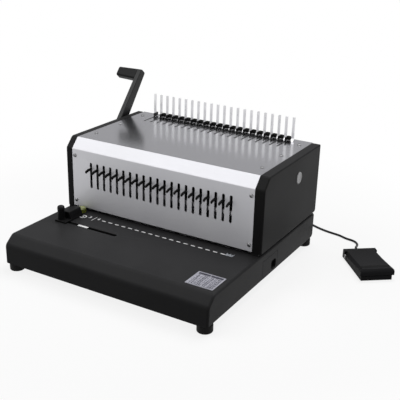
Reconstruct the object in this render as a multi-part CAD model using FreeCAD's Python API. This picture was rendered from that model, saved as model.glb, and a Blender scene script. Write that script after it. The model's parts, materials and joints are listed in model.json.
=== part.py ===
import FreeCAD, Part
import math
import os

from FreeCAD import Vector

# Electric comb-binding punch with a foot switch. Millimetres; X to the right, Y to the rear, Z up.
# The origin lies on the bench, at the centre of the base.

# base housing
base_width = 400.8
base_depth = 395.2
base_wall = 2.5
base_edge_radius = 4.0
base_tail_radius = 8.0
shelf_height = 62.4
nose_run = 18.0
nose_drop = 14.9
nose_radius = 12.0
ledge_height = 3.7
pan_sheet = 2.0
pan_rim = 12.0
foot_height = 13.6
foot_radius = 12.8
foot_edge = 2.0
foot_inset_x = 12.9
foot_inset_y = 13.6
fixing_span_x = 300.0
fixing_span_y = 300.0
fixing_radius = 3.3

# clearances
fit_gap = 0.3
running_gap = 0.05
slide_gap = 0.1

# silver cover
cover_inset = 15.7
cover_front = 30.85
cover_rear = 198.7
cover_sheet = 1.5
cover_bend = 2.5
throat_height = 6.0
top_height = 195.9
slope_run = 16.75
slope_drop = 18.1

# side covers
side_thickness = 17.3
left_side_thickness = 13.5
side_rear = 195.3
side_wall = 2.5
side_edge = 2.5
side_tail_radius = 6.0
side_corner = 8.0
side_proud = 0.3
boss_radius = 4.5
boss_inset = 28.0
shaft_hole_gap = 1.5
plug_radius = 12.0
plug_head = 1.2
plug_stem_radius = 4.0
plug_stem = 6.0
plug_y = 103.5
plug_z = 160.0

# inner frame
web_sheet = 3.0
flange_width = 15.0
flange_end_gap = 2.0
rear_sheet = 1.5
rear_shelf = 7.6
vent_length = 34.0
vent_width = 3.6
vent_count = 9
vent_step = 12.0
vent_rows = (95.0, 150.0)
vent_columns = (-110.0, 0.0, 110.0)

# screws
screw_radius = 2.0
screw_head_radius = 3.4
screw_head = 2.2
screw_round = 1.3
screw_length = 6.0
screw_socket = 1.2
screw_socket_depth = 1.0
front_screw_inset = 5.7
front_screw_low = 79.9
front_screw_high = 165.7
top_screw_inset = 14.7
top_screw_rows = (21.5, 96.0, 171.0)
rear_screw_inset = 10.7
rear_screw_low = 80.0
rear_screw_high = 180.0

# punching row
comb_pitch = 14.2875
hole_count = 21
punch_width = 8.0
punch_depth = 3.0
punch_back = 9.0
punch_lift = 0.6
die_thickness = 10.0
die_front = 23.7
die_rear = 8.0
paper_gap = 3.0
guide_height = 30.0
stroke = 10.0

# ram and pull tabs
tab_level = 146.5
ram_below_tab = 25.1
ram_above_tab = 13.5
ram_front = 22.0
ram_rear = 2.0
ram_end_gap = 3.4
tongue_front = 15.0
tongue_rear = 3.0
tongue_trim = 4.0
tab_width = 3.0
tab_height = 4.5
tab_tail = 5.5
tab_reach = 15.5
tab_droop = 2.6
tab_straight = 5.0
tab_travel = 8.0
tab_pocket = 8.0
front_slot_width = 3.7
front_slot_above = 11.4
front_slot_below = 36.8
spring_inset = 20.0
spring_radius = 7.0
spring_wire = 1.2
spring_folds = 8

# camshaft drive
cam_axis_y = 37.0
cam_shaft_radius = 8.0
cam_low = 18.0
cam_gap = 0.4
cam_width = 12.0
cam_x = 110.0
cam_points = 9
arm_width = 14.0
arm_thickness = 10.2
arm_overreach = 11.0
gear_module = 1.5
gear_teeth = 42
pinion_teeth = 14
gear_x = -89.0
gear_width = 10.0
pressure_angle = 25.0
addendum = 0.8
dedendum = 1.05
backlash = 0.2
pinion_angle = -50.0
pinion_shaft_radius = 4.0
motor_radius = 28.0
motor_length = 96.0
gearbox_length = 22.0
gearbox_step = 3.0
motor_nose_radius = 9.0
motor_nose = 1.6
bracket_sheet = 4.0
bracket_foot = 32.0
bracket_front = 42.0
bracket_rear = 88.0
bracket_above = 18.0

# comb-opening lever and hook carriage
lever_axis_y = 98.9
lever_axis_z = 130.0
lever_lean = 40.4
lever_reach = 187.3
lever_front = 10.2
lever_rear_top = 5.8
lever_shaft_radius = 6.0
lever_gap = 1.7
lever_thickness = 9.5
lever_boss_radius = 16.5
lever_edge = 1.5
lever_seam_edge = 0.5
grip_length = 47.2
grip_height = 23.0
grip_rear = 6.2
grip_drop = 0.9
grip_rise = 2.2
grip_round = 4.0
grip_pin_radius = 5.0
grip_bore_depth = 38.0
rack_module = 1.75
rack_pinion_teeth = 24
rack_x = 130.0
rack_width = 8.0
rack_back = 6.0
rack_teeth_front = 3
rack_teeth_rear = 10
lever_turn = 90.0
bush_wall = 3.0
bush_flange = 2.0
carriage_drop = 15.9
carriage_sheet = 2.5
carriage_front = 146.0
carriage_rear = 183.5
carriage_tongue_front = 152.0
carriage_tongue_rear = 180.0
tongue_end = 0.4
riser_length = 14.0
hook_offset = 3.2
hook_sheet = 1.6
hook_front = 175.5
hook_stem = 4.0
hook_back = 190.0
hook_rise = 1.1
hook_height = 6.6
roller_radius = 4.0
roller_width = 5.6
roller_y = 187.0
roller_rise = 4.5
top_slot_front = 140.7
top_slot_rear = 182.0
top_slot_width = 3.0
top_slot_eye = 2.3
top_slot_eye_y = 177.5

# comb fingers
finger_y = 187.2
finger_sheet = 2.0
finger_width = 5.0
finger_height = 44.1
finger_round = 1.6
finger_foot = 6.0
finger_gap = 0.4
finger_strip = 14.4
finger_flange = 5.0

# edge guide, margin dial and depth stop
guide_slot_y = -91.5
guide_slot_left = -172.0
guide_slot_right = -49.0
guide_slot_width = 5.6
guide_x = -164.5
guide_plate = 3.0
guide_plate_left = 8.0
guide_plate_right = 16.5
guide_plate_front = 8.5
fence_width = 20.0
fence_height = 20.6
fence_front = -83.0
fence_rear = -50.5
fence_round = 2.0
knob_radius = 6.6
knob_height = 25.0
knob_round = 3.0
knob_screw_radius = 2.5
nut_width = 14.0
nut_height = 4.0
pointer_left = 38.5
pointer_length = 21.0
pointer_width = 4.6
pointer_proud = 0.6
dial_x = -160.5
dial_y = -40.2
dial_radius = 8.5
dial_height = 9.3
dial_round = 1.2
dial_stem_radius = 3.0
dial_stem = 14.0
dial_nut_radius = 5.5
dial_nut = 3.0
stop_thickness = 2.4
stop_front = 4.5
stop_rear = 24.0
stop_end_gap = 8.0
stop_travel = 4.0

# chip drawer
drawer_front = 18.0
drawer_rear = 38.0
drawer_top = 49.0
drawer_left = -170.0
drawer_wall = 2.0
drawer_lift = 0.4
drawer_gap = 0.4
drawer_face = 12.0
pull_centre = 24.0
pull_half = 9.0
pull_low = 20.0
pull_high = 37.0
pull_depth = 9.0
pull_round = 5.0
rail_sheet = 2.0
rail_height = 12.0

# electrics
board_x = 30.0
board_y = 100.0
board_width = 100.0
board_depth = 70.0
board_sheet = 1.6
board_lift = 6.0
board_post = 3.0
board_inset = 6.0
coil_block = (38.0, 32.0, 28.0)
relay_block = (20.0, 16.0, 18.0)
capacitor_radius = 8.0
capacitor_height = 24.0
inlet_x = -130.0
inlet_z = 38.0
inlet_flange = (31.0, 25.0)
inlet_body = (27.0, 20.0)
inlet_cavity = (24.0, 16.6)
inlet_cavity_depth = 14.0
inlet_depth = 19.0
inlet_pin_radius = 1.8
inlet_pin_length = 11.0
inlet_pin_step = 7.0
flange_sheet = 2.0
switch_x = -92.0
switch_flange = (16.0, 23.0)
switch_body = (13.6, 20.0)
switch_cavity = (11.2, 17.6)
switch_depth = 16.0
switch_cavity_depth = 11.0
rocker_width = 10.6
rocker_half = 7.6
rocker_front = 2.6
rocker_back = 5.0
rocker_tilt = 7.0
rocker_axis_in = 1.0
rocker_pin_radius = 1.0
rocker_pin = 1.0

# foot switch
pedal_x = 322.9
pedal_y = 155.15
pedal_yaw = 38.0
pedal_length = 97.0
pedal_width = 55.0
pedal_floor = 3.0
pedal_wall = 2.0
pedal_wall_height = 8.0
pedal_block = 12.0
pedal_block_height = 14.4
pedal_block_round = 2.0
tread_gap = 0.8
tread_sheet = 2.0
tread_rear_height = 14.4
tread_ridge_height = 27.0
tread_ridge = 5.0
tread_overhang = 2.5
tread_lip_height = 17.0
tread_skirt_front = 10.0
tread_skirt_rear = 5.0
tread_bevel = 5.0
tread_rear_gap = 0.6
tread_pin_in = 4.0
tread_pin_height = 7.0
tread_pin_radius = 2.0
ear_width = 3.0
ear_half = 4.0
ear_height = 9.2
micro_length = 20.0
micro_width = 12.0
micro_height = 8.0
micro_button_radius = 2.0
micro_button = 3.4
micro_y = 0.0

# cord of the foot switch
cord_radius = 2.2
gland_x = 56.5
gland_z = 30.0
gland_length = 16.0
gland_radius = 5.5
gland_tip_radius = 3.2
gland_nut_radius = 8.0
gland_nut = 4.0
pedal_gland_length = 6.0
pedal_gland_radius = 4.4
pedal_gland_z = 7.6
coil_x = 92.0
coil_y = 258.0
coil_mean_radius = 24.4
coil_half_band = 9.0
coil_height = 9.0
coil_round = 2.2
run_share = 0.45
cord_to_coil = (
    (56.5, 213.6, 30.0),
    (56.5, 225.0, 30.0),
    (56.4, 237.5, 23.8),
    (56.3, 249.5, 13.4),
    (56.2, 261.0, 7.0),
)
cord_to_pedal = (
    (92.0, 294.0, 2.2),
    (112.5, 293.6, 2.2),
    (133.0, 289.5, 2.2),
    (153.5, 281.5, 2.2),
    (173.5, 271.3, 2.2),
    (191.7, 263.6, 2.2),
    (212.0, 258.4, 2.2),
    (233.5, 255.6, 2.2),
    (249.0, 248.0, 2.2),
    (265.5, 246.4, 2.2),
    (276.5, 236.5, 2.2),
    (279.8, 221.5, 3.8),
    (281.9, 207.6, 7.6),
    (289.35, 198.1, 7.6),
)

# levels and places worked out from the sizes above
half_base = base_width / 2
half_depth = base_depth / 2
pan_top = foot_height + pan_sheet
half_cover = half_base - cover_inset
web_outer = half_cover - fit_gap
web_inner = web_outer - web_sheet
side_inner = half_cover + fit_gap
side_outer = side_inner + side_thickness
left_outer = side_inner + left_side_thickness
side_bottom = shelf_height + ledge_height + fit_gap
panel_inner = cover_sheet - cover_front
front_screw_x = half_cover - front_screw_inset
top_screw_x = half_cover - top_screw_inset
rear_screw_x = half_cover - rear_screw_inset
top_inner = top_height - cover_sheet
panel_bottom = shelf_height + throat_height
rear_panel_front = side_rear - fit_gap / 3
die_bottom = shelf_height - die_thickness
guide_bottom = shelf_height + paper_gap
guide_top = guide_bottom + guide_height
tab_bottom = tab_level - tab_height / 2
tab_top = tab_level + tab_height / 2
ram_bottom = tab_level - ram_below_tab
ram_top = tab_level + ram_above_tab
ram_half = web_inner - ram_end_gap
spring_x = ram_half - spring_inset
cam_axis_z = ram_bottom + arm_thickness + cam_gap + cam_low
gear_radius = gear_module * gear_teeth / 2
pinion_radius = gear_module * pinion_teeth / 2
pinion_bearing = math.radians(pinion_angle)
pinion_y = cam_axis_y + (gear_radius + pinion_radius) * math.cos(pinion_bearing)
pinion_z = cam_axis_z + (gear_radius + pinion_radius) * math.sin(pinion_bearing)
rack_pitch_radius = rack_module * rack_pinion_teeth / 2
rack_line = lever_axis_z + rack_pitch_radius
carriage_travel = rack_pitch_radius * math.radians(lever_turn)
carriage_level = top_height - carriage_drop
hook_low = top_height + hook_rise
hook_high = hook_low + hook_height
roller_z = top_height + roller_rise
finger_top = top_height + finger_height
finger_count = hole_count + 1
knob_bottom = shelf_height + fit_gap + guide_plate + fit_gap
side_slope = math.atan2(slope_run, slope_drop)
nose_slope = math.atan2(nose_run, nose_drop)


def box(x0, x1, y0, y1, z0, z1):
    return Part.makeBox(x1 - x0, y1 - y0, z1 - z0, Vector(x0, y0, z0))


def rod(radius, start, end):
    along = end.sub(start)
    return Part.makeCylinder(radius, along.Length, start, along)


def rod_x(radius, x0, x1, y, z):
    return rod(radius, Vector(x0, y, z), Vector(x1, y, z))


def rod_y(radius, y0, y1, x, z):
    return rod(radius, Vector(x, y0, z), Vector(x, y1, z))


def rod_z(radius, z0, z1, x, y):
    return rod(radius, Vector(x, y, z0), Vector(x, y, z1))


def side_plate(outline, x0, x1):
    """Solid between two X planes with a closed outline of (y, z) corners."""
    corners = [Vector(x0, y, z) for y, z in outline]
    return Part.Face(Part.makePolygon(corners + corners[:1])).extrude(Vector(x1 - x0, 0, 0))


def pill(a, b, radius, depth):
    """Solid with round ends about the points a and b, drawn out by the vector depth."""
    along = b.sub(a).normalize()
    side = depth.cross(along).normalize() * radius
    tip = along * radius
    edges = [
        Part.LineSegment(a + side, b + side).toShape(),
        Part.Arc(b + side, b + tip, b - side).toShape(),
        Part.LineSegment(b - side, a - side).toShape(),
        Part.Arc(a - side, a - tip, a + side).toShape(),
    ]
    return Part.Face(Part.Wire(edges)).extrude(depth)


def turned(outline, axis_point, axis):
    """Solid of revolution of a closed outline of points."""
    return Part.Face(Part.makePolygon(outline + outline[:1])).revolve(axis_point, axis, 360)


def rounded(solid, radius, chosen):
    """Fillets the edges that the test accepts; each edge is passed as its middle and its direction."""
    edges = []
    for edge in solid.Edges:
        first, last = edge.ParameterRange
        middle = edge.valueAt((first + last) / 2)
        if chosen(middle, edge.tangentAt((first + last) / 2)):
            edges.append(edge)
    return solid.makeFillet(radius, edges)


def near(value, target):
    return abs(value - target) < 0.01


def both_sides(solid):
    return [solid, solid.mirror(Vector(0, 0, 0), Vector(1, 0, 0))]


def group(solids):
    return Part.makeCompound([solid for piece in solids for solid in piece.Solids])


def slot_places():
    """X of each punch, pull tab and hook, from the left."""
    return [(i - (hole_count - 1) / 2) * comb_pitch for i in range(hole_count)]


def finger_places():
    return [(i - (finger_count - 1) / 2) * comb_pitch for i in range(finger_count)]


def cover_line(inset, bottom, rear):
    """Outline of the front, slope and top at a distance inside the silver cover's outer face."""
    return [
        (inset - cover_front, bottom),
        (inset - cover_front, top_height - slope_drop - inset * math.tan(side_slope / 2)),
        (
            slope_run - cover_front + inset * math.tan((math.pi / 2 - side_slope) / 2),
            top_height - inset,
        ),
        (rear, top_height - inset),
    ]


# ---------------------------------------------------------------- base


def housing(inset):
    """Solid form of the base at a distance inside its outer face."""
    half = half_base - inset
    front = inset - half_depth
    rear = half_depth - inset
    top = shelf_height - inset
    outline = [
        (front, foot_height),
        (front, shelf_height - nose_drop - inset * math.tan(nose_slope / 2)),
        (nose_run - half_depth + inset * math.tan((math.pi / 2 - nose_slope) / 2), top),
        (rear, top),
        (rear, foot_height),
    ]
    form = side_plate(outline, -half, half)
    nose = [outline[1], outline[2]]

    def on_nose(middle, way):
        return near(abs(way.x), 1) and any(
            near(middle.y, y) and near(middle.z, z) for y, z in nose
        )

    form = rounded(form, nose_radius - inset, on_nose)
    form = rounded(
        form,
        base_edge_radius - inset,
        lambda middle, way: near(abs(way.x), 1) and near(middle.y, rear) and near(middle.z, top),
    )
    form = rounded(
        form,
        base_tail_radius - inset,
        lambda middle, way: near(abs(way.x), 1)
        and near(middle.y, rear)
        and near(middle.z, foot_height),
    )
    return rounded(
        form,
        base_edge_radius - inset,
        lambda middle, way: near(abs(middle.x), half) and not near(middle.z, foot_height),
    )


def base_cover():
    shell = housing(0).cut(housing(base_wall))
    ledges = both_sides(
        box(
            side_inner,
            half_base - base_edge_radius,
            -cover_front,
            half_depth - base_edge_radius,
            shelf_height - base_wall / 2,
            shelf_height + ledge_height,
        )
    )
    shell = shell.fuse(ledges)
    opening = box(
        -web_outer - fit_gap,
        web_outer + fit_gap,
        -die_front - fit_gap,
        half_depth - rear_shelf,
        shelf_height - 2 * base_wall,
        shelf_height + ledge_height,
    )
    guide_slot = pill(
        Vector(guide_slot_left + guide_slot_width / 2, guide_slot_y, shelf_height - 2 * base_wall),
        Vector(guide_slot_right - guide_slot_width / 2, guide_slot_y, shelf_height - 2 * base_wall),
        guide_slot_width / 2,
        Vector(0, 0, 3 * base_wall),
    )
    dial_hole = rod_z(
        dial_stem_radius + running_gap, shelf_height - 2 * base_wall, shelf_height, dial_x, dial_y
    )
    drawer_hole = box(
        half_base - 2 * base_wall,
        half_base,
        -drawer_front - drawer_gap,
        drawer_rear + drawer_gap,
        pan_top,
        drawer_top + drawer_gap,
    )
    cuts = [opening, guide_slot, dial_hole, drawer_hole, gland_hole()]
    cuts += [
        rear_window(inlet_x, inlet_z, inlet_body, slide_gap),
        rear_window(switch_x, inlet_z, switch_body, slide_gap),
    ]
    return shell.cut(cuts)


def rear_window(x, z, size, gap):
    """Cutter through the base's rear wall for a block of the given width and height."""
    return box(
        x - size[0] / 2 - gap,
        x + size[0] / 2 + gap,
        half_depth - 2 * base_wall,
        half_depth + base_wall,
        z - size[1] / 2 - gap,
        z + size[1] / 2 + gap,
    )


def gland_hole():
    return rod_y(
        gland_radius + slide_gap,
        half_depth - 2 * base_wall,
        half_depth + base_wall,
        gland_x,
        gland_z,
    )


def foot_places():
    x = half_base - foot_inset_x
    y = half_depth - foot_inset_y
    return [(-x, -y), (x, -y), (-x, y), (x, y)]


def base_pan():
    half = half_base - base_edge_radius - fit_gap
    front = base_wall + fit_gap - half_depth
    rear = half_depth - base_tail_radius - fit_gap
    pan = box(-half, half, front, rear, foot_height, pan_top)
    rim_top = foot_height + pan_rim
    rims = [
        box(-half + pan_rim, half - pan_rim, front, front + pan_sheet, pan_top, rim_top),
        box(-half, -half + pan_sheet, front + pan_rim, rear - pan_rim, pan_top, rim_top),
    ]
    rail_rear = drawer_rear + drawer_gap
    rail_front = -drawer_front - drawer_gap
    rails = [
        box(drawer_left, half, rail_front - rail_sheet, rail_front, pan_top, pan_top + rail_height),
        box(drawer_left, half, rail_rear, rail_rear + rail_sheet, pan_top, pan_top + rail_height),
    ]
    holes = [
        rod_z(screw_radius + running_gap, foot_height, pan_top, x, y) for x, y in foot_places()
    ]
    for x in (-fixing_span_x / 2, fixing_span_x / 2):
        for y in (-fixing_span_y / 2, fixing_span_y / 2):
            holes.append(rod_z(fixing_radius, foot_height, pan_top, x, y))
    return pan.fuse(rims + rails).cut(holes)


def feet():
    feet_solids = []
    seat = pan_top - screw_length
    for x, y in foot_places():
        foot = rod_z(foot_radius, 0, foot_height, x, y)
        foot = foot.makeFillet(foot_edge, foot.Edges)
        foot = foot.cut(rod_z(screw_head_radius + fit_gap, 0, seat, x, y))
        feet_solids.append(foot.cut(rod_z(screw_radius + running_gap, seat, foot_height, x, y)))
    return group(feet_solids)


# ---------------------------------------------------------------- covers


def silver_cover():
    outer = cover_line(0, panel_bottom, cover_rear)
    inner = cover_line(cover_sheet, panel_bottom, cover_rear)
    sheet = side_plate(outer + inner[::-1], -half_cover, half_cover)
    for line, radius in ((outer, cover_bend), (inner, cover_bend - cover_sheet)):
        bends = line[1:3]

        def on_bend(middle, way):
            return near(abs(way.x), 1) and any(
                near(middle.y, y) and near(middle.z, z) for y, z in bends
            )

        sheet = rounded(sheet, radius, on_bend)
    return sheet.cut(front_slots() + top_openings() + cover_screw_holes())


def front_slots():
    low = tab_level - front_slot_below + front_slot_width / 2
    high = tab_level + front_slot_above - front_slot_width / 2
    start = -cover_front - cover_sheet
    through = Vector(0, 3 * cover_sheet, 0)
    return [
        pill(Vector(x, start, low), Vector(x, start, high), front_slot_width / 2, through)
        for x in slot_places()
    ]


def top_openings():
    bottom = top_inner - cover_sheet
    through = Vector(0, 0, 3 * cover_sheet)
    end = top_slot_width / 2
    cuts = []
    for place in slot_places():
        x = place - hook_offset
        front = Vector(x, top_slot_front + end, bottom)
        rear = Vector(x, top_slot_rear - end, bottom)
        cuts.append(pill(front, rear, end, through))
        cuts.append(rod_z(top_slot_eye, bottom, top_height + cover_sheet, x, top_slot_eye_y))
    half = finger_width / 2 + finger_gap
    depth = finger_sheet / 2 + finger_gap
    for x in finger_places():
        cuts.append(
            box(
                x - half,
                x + half,
                finger_y - depth,
                finger_y + depth,
                bottom,
                top_height + cover_sheet,
            )
        )
    return cuts


def cover_screw_holes():
    radius = screw_radius + running_gap
    holes = []
    for x in (-front_screw_x, front_screw_x):
        for z in (front_screw_low, front_screw_high):
            holes.append(rod_y(radius, -cover_front - cover_sheet, screw_length - cover_front, x, z))
    for x in (-top_screw_x, top_screw_x):
        for y in top_screw_rows:
            holes.append(rod_z(radius, top_height - screw_length, top_height + cover_sheet, x, y))
    return holes


def side_form(inset):
    """Outline of a side cover at a distance inside its edge."""
    outer = cover_line(inset - side_proud, side_bottom + inset, side_rear - inset)
    return outer + [(side_rear - inset, side_bottom + inset)]


def side_shell(face):
    """Right-hand side cover out to its face, without the openings that only one side has."""
    outer = side_plate(side_form(0), side_inner, face)
    bends = side_form(0)[1:3]

    def bend(middle, way):
        return any(near(middle.y, y) and near(middle.z, z) for y, z in bends)

    def tail(middle, way):
        return near(abs(way.x), 1) and near(middle.y, side_rear) and near(middle.z, side_bottom)

    outer = rounded(outer, side_corner, bend)
    outer = rounded(outer, side_tail_radius, tail)
    outer = rounded(outer, side_edge, lambda middle, way: near(middle.x, face))
    hollow = side_plate(side_form(side_wall), side_inner - side_wall, face - side_wall)
    bosses = []
    low = side_bottom + boss_inset
    high = top_height - boss_inset
    for y in (boss_inset - cover_front, side_rear - boss_inset):
        for z in (low, high):
            bosses.append(rod_x(boss_radius, web_outer, face - side_wall / 2, y, z))
    return outer.cut(hollow).fuse(bosses)


def left_side_cover():
    shell = side_shell(left_outer).mirror(Vector(0, 0, 0), Vector(1, 0, 0))
    hole = rod_x(
        lever_shaft_radius + shaft_hole_gap,
        -left_outer,
        -left_outer + 2 * side_wall,
        lever_axis_y,
        lever_axis_z,
    )
    return shell.cut(hole)


def right_side_cover():
    hole = rod_x(
        plug_stem_radius + running_gap, side_outer - 2 * side_wall, side_outer, plug_y, plug_z
    )
    return side_shell(side_outer).cut(hole)


def cover_plug():
    head = rod_x(plug_radius, side_outer, side_outer + plug_head, plug_y, plug_z)
    head = rounded(head, plug_head / 2, lambda middle, way: near(middle.x, side_outer + plug_head))
    stem = rod_x(plug_stem_radius, side_outer - plug_stem, side_outer, plug_y, plug_z)
    return head.fuse(stem)


def rear_panel():
    panel = box(
        -web_outer,
        web_outer,
        rear_panel_front,
        rear_panel_front + rear_sheet,
        shelf_height,
        top_inner,
    )
    through = Vector(0, 3 * rear_sheet, 0)
    start = rear_panel_front - rear_sheet
    vents = []
    for column in vent_columns:
        for z in vent_rows:
            for i in range(vent_count):
                x = column + (i - (vent_count - 1) / 2) * vent_step / 2
                vents.append(
                    pill(
                        Vector(x, start, z),
                        Vector(x, start, z + vent_length),
                        vent_width / 2,
                        through,
                    )
                )
    return panel.cut(vents + rear_screw_holes())


def rear_screw_holes():
    radius = screw_radius + running_gap
    end = rear_panel_front + 2 * rear_sheet
    return [
        rod_y(radius, end - screw_length, end, x, z)
        for x in (-rear_screw_x, rear_screw_x)
        for z in (rear_screw_low, rear_screw_high)
    ]


def screw(seat, out):
    """Button-head screw; seat is where its head meets the sheet, out the way the head faces."""
    head = rod(screw_head_radius, seat, seat + out * screw_head)
    top = seat + out * screw_head

    def rim(middle, way):
        return near((middle - top).dot(out), 0)

    head = rounded(head, screw_round, rim)
    shank = rod(screw_radius, seat - out * screw_length, seat)
    socket = rod(screw_socket, top - out * screw_socket_depth, top)
    return head.fuse(shank).cut(socket)


def case_screws():
    forward = Vector(0, -1, 0)
    backward = Vector(0, 1, 0)
    upward = Vector(0, 0, 1)
    screws = []
    for x in (-front_screw_x, front_screw_x):
        for z in (front_screw_low, front_screw_high):
            screws.append(screw(Vector(x, -cover_front, z), forward))
    for x in (-top_screw_x, top_screw_x):
        for y in top_screw_rows:
            screws.append(screw(Vector(x, y, top_height), upward))
    for x in (-rear_screw_x, rear_screw_x):
        for z in (rear_screw_low, rear_screw_high):
            screws.append(screw(Vector(x, rear_panel_front + rear_sheet, z), backward))
    for x, y in foot_places():
        screws.append(screw(Vector(x, y, pan_top - screw_length), -upward))
    return group(screws)


# ---------------------------------------------------------------- frame and dies


def frame_plate():
    """Right-hand inner side plate: a folded sheet with flanges at the front, top and rear."""
    leg_front = drawer_rear + drawer_gap + rail_sheet + fit_gap
    leg_rear = half_depth - rear_shelf - fit_gap
    outline = cover_line(cover_sheet + slide_gap, panel_bottom, rear_panel_front)
    outline += [
        (rear_panel_front, shelf_height + fit_gap),
        (leg_rear, shelf_height + fit_gap),
        (leg_rear, pan_top),
        (leg_front, pan_top),
        (leg_front, die_bottom),
        (-die_front, die_bottom),
        (-die_front, panel_bottom),
    ]
    web = side_plate(outline, web_inner, web_outer)
    inward = web_inner - flange_width
    low = panel_bottom + flange_end_gap
    slope_foot = top_height - slope_drop - flange_end_gap
    slope_head = slope_run - cover_front + flange_end_gap
    front = box(inward, web_inner, panel_inner, panel_inner + web_sheet, low, slope_foot)
    top = box(inward, web_inner, slope_head, rear_panel_front, top_inner - web_sheet, top_inner)
    rear = box(
        inward, web_inner, rear_panel_front - web_sheet, rear_panel_front, low, top_inner - web_sheet
    )
    ram_slot = box(
        web_inner,
        web_outer,
        -tongue_front - running_gap,
        -tongue_rear + running_gap,
        ram_bottom + tongue_trim - stroke - fit_gap,
        ram_top - tongue_trim + fit_gap,
    )
    carriage_slot = box(
        web_inner,
        web_outer,
        carriage_tongue_front - carriage_travel - fit_gap,
        carriage_tongue_rear + fit_gap,
        carriage_level - running_gap,
        carriage_level + carriage_sheet + running_gap,
    )
    bores = [
        rod_x(cam_shaft_radius + bush_wall + running_gap, web_inner, web_outer, cam_axis_y, cam_axis_z),
        rod_x(
            lever_shaft_radius + bush_wall + running_gap,
            web_inner,
            web_outer,
            lever_axis_y,
            lever_axis_z,
        ),
    ]
    return web.fuse([front, top, rear]).cut([ram_slot, carriage_slot] + bores)


def frame_plates():
    screw_holes = cover_screw_holes() + rear_screw_holes()
    return group([plate.cut(screw_holes) for plate in both_sides(frame_plate())])


def punch_hole(x, z0, z1):
    half = punch_width / 2 + running_gap
    depth = punch_depth / 2 + running_gap
    return box(x - half, x + half, -punch_back - depth, -punch_back + depth, z0, z1)


def die_plate():
    plate = box(-web_inner, web_inner, -die_front, die_rear, die_bottom, shelf_height)
    return plate.cut([punch_hole(x, die_bottom, shelf_height) for x in slot_places()])


def punch_guide():
    bar = box(-web_inner, web_inner, -die_front, die_rear, guide_bottom, guide_top)
    return bar.cut([punch_hole(x, guide_bottom, guide_top) for x in slot_places()])


def punches():
    top = tab_bottom - fit_gap
    bottom = guide_bottom + punch_lift
    half = punch_width / 2
    depth = punch_depth / 2
    return group(
        [
            box(x - half, x + half, -punch_back - depth, -punch_back + depth, bottom, top)
            for x in slot_places()
        ]
    )


# ---------------------------------------------------------------- ram and tabs


def ram_beam():
    bar = box(-ram_half, ram_half, -ram_front, ram_rear, ram_bottom, ram_top)
    tongues = both_sides(
        box(
            ram_half,
            web_outer - tongue_end,
            -tongue_front,
            -tongue_rear,
            ram_bottom + tongue_trim,
            ram_top - tongue_trim,
        )
    )
    arms = both_sides(
        box(
            cam_x - arm_width / 2,
            cam_x + arm_width / 2,
            ram_rear,
            cam_axis_y + arm_overreach,
            ram_bottom,
            ram_bottom + arm_thickness,
        )
    )
    cuts = []
    half = tab_width / 2 + slide_gap
    for x in slot_places():
        cuts.append(punch_hole(x, ram_bottom, tab_top + tab_pocket))
        cuts.append(
            box(
                x - half,
                x + half,
                -ram_front,
                -tab_tail + fit_gap,
                tab_bottom - slide_gap,
                tab_top + slide_gap,
            )
        )
    return bar.fuse(tongues + arms).cut(cuts)


def pull_tab(x):
    """Flat pull whose front end bends down a little; its tail covers the punch's head."""
    tip = -cover_front - tab_reach
    bend = -cover_front - tab_straight
    half = tab_width / 2

    def corner(y, z):
        return Vector(x - half, y, z)

    def bowed(y0, z0, y1, z1, bow):
        middle = corner((y0 + y1) / 2, (z0 + z1) / 2 + bow)
        return Part.Arc(corner(y0, z0), middle, corner(y1, z1)).toShape()

    def straight(y0, z0, y1, z1):
        return Part.LineSegment(corner(y0, z0), corner(y1, z1)).toShape()

    edges = [
        straight(-tab_tail, tab_top, bend, tab_top),
        bowed(bend, tab_top, tip, tab_top - tab_droop, tab_droop / 4),
        straight(tip, tab_top - tab_droop, tip, tab_bottom - tab_droop),
        bowed(tip, tab_bottom - tab_droop, bend, tab_bottom, tab_droop / 4),
        straight(bend, tab_bottom, -tab_tail, tab_bottom),
        straight(-tab_tail, tab_bottom, -tab_tail, tab_top),
    ]
    tab = Part.Face(Part.Wire(edges)).extrude(Vector(tab_width, 0, 0))
    return rounded(
        tab,
        tab_width / 3,
        lambda middle, way: near(abs(way.x), 1) and near(middle.y, tip),
    )


def return_springs():
    """Two coil springs about their seats, each drawn as a folded sleeve."""
    fold = (ram_bottom - guide_top) / (2 * spring_folds)
    springs = []
    for x in (-spring_x, spring_x):
        outside = []
        inside = []
        for i in range(2 * spring_folds + 1):
            z = guide_top + i * fold
            bulge = spring_wire if i % 2 else 0
            outside.append(Vector(x + spring_radius + bulge, -punch_back, z))
            inside.append(Vector(x + spring_radius - spring_wire + bulge, -punch_back, z))
        springs.append(turned(outside + inside[::-1], Vector(x, -punch_back, 0), Vector(0, 0, 1)))
    return group(springs)


# ---------------------------------------------------------------- drive


def heart_cam(x):
    """Cam whose radius grows evenly with the angle, from its low point below the shaft to the top."""

    def rim(angle):
        radius = cam_low + stroke * abs(angle) / math.pi
        y = cam_axis_y + radius * math.sin(angle)
        z = cam_axis_z - radius * math.cos(angle)
        return Vector(x - cam_width / 2, y, z)

    halves = []
    for start, end in ((0, math.pi), (-math.pi, 0)):
        step = (end - start) / (cam_points - 1)
        curve = Part.BSplineCurve()
        curve.interpolate([rim(start + i * step) for i in range(cam_points)])
        halves.append(curve.toShape())
    cam = Part.Face(Part.Wire(halves)).extrude(Vector(cam_width, 0, 0))
    bore = rod_x(
        cam_shaft_radius + running_gap, x - cam_width / 2, x + cam_width / 2, cam_axis_y, cam_axis_z
    )
    return cam.cut(bore)


def involute(angle):
    return math.tan(angle) - angle


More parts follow.
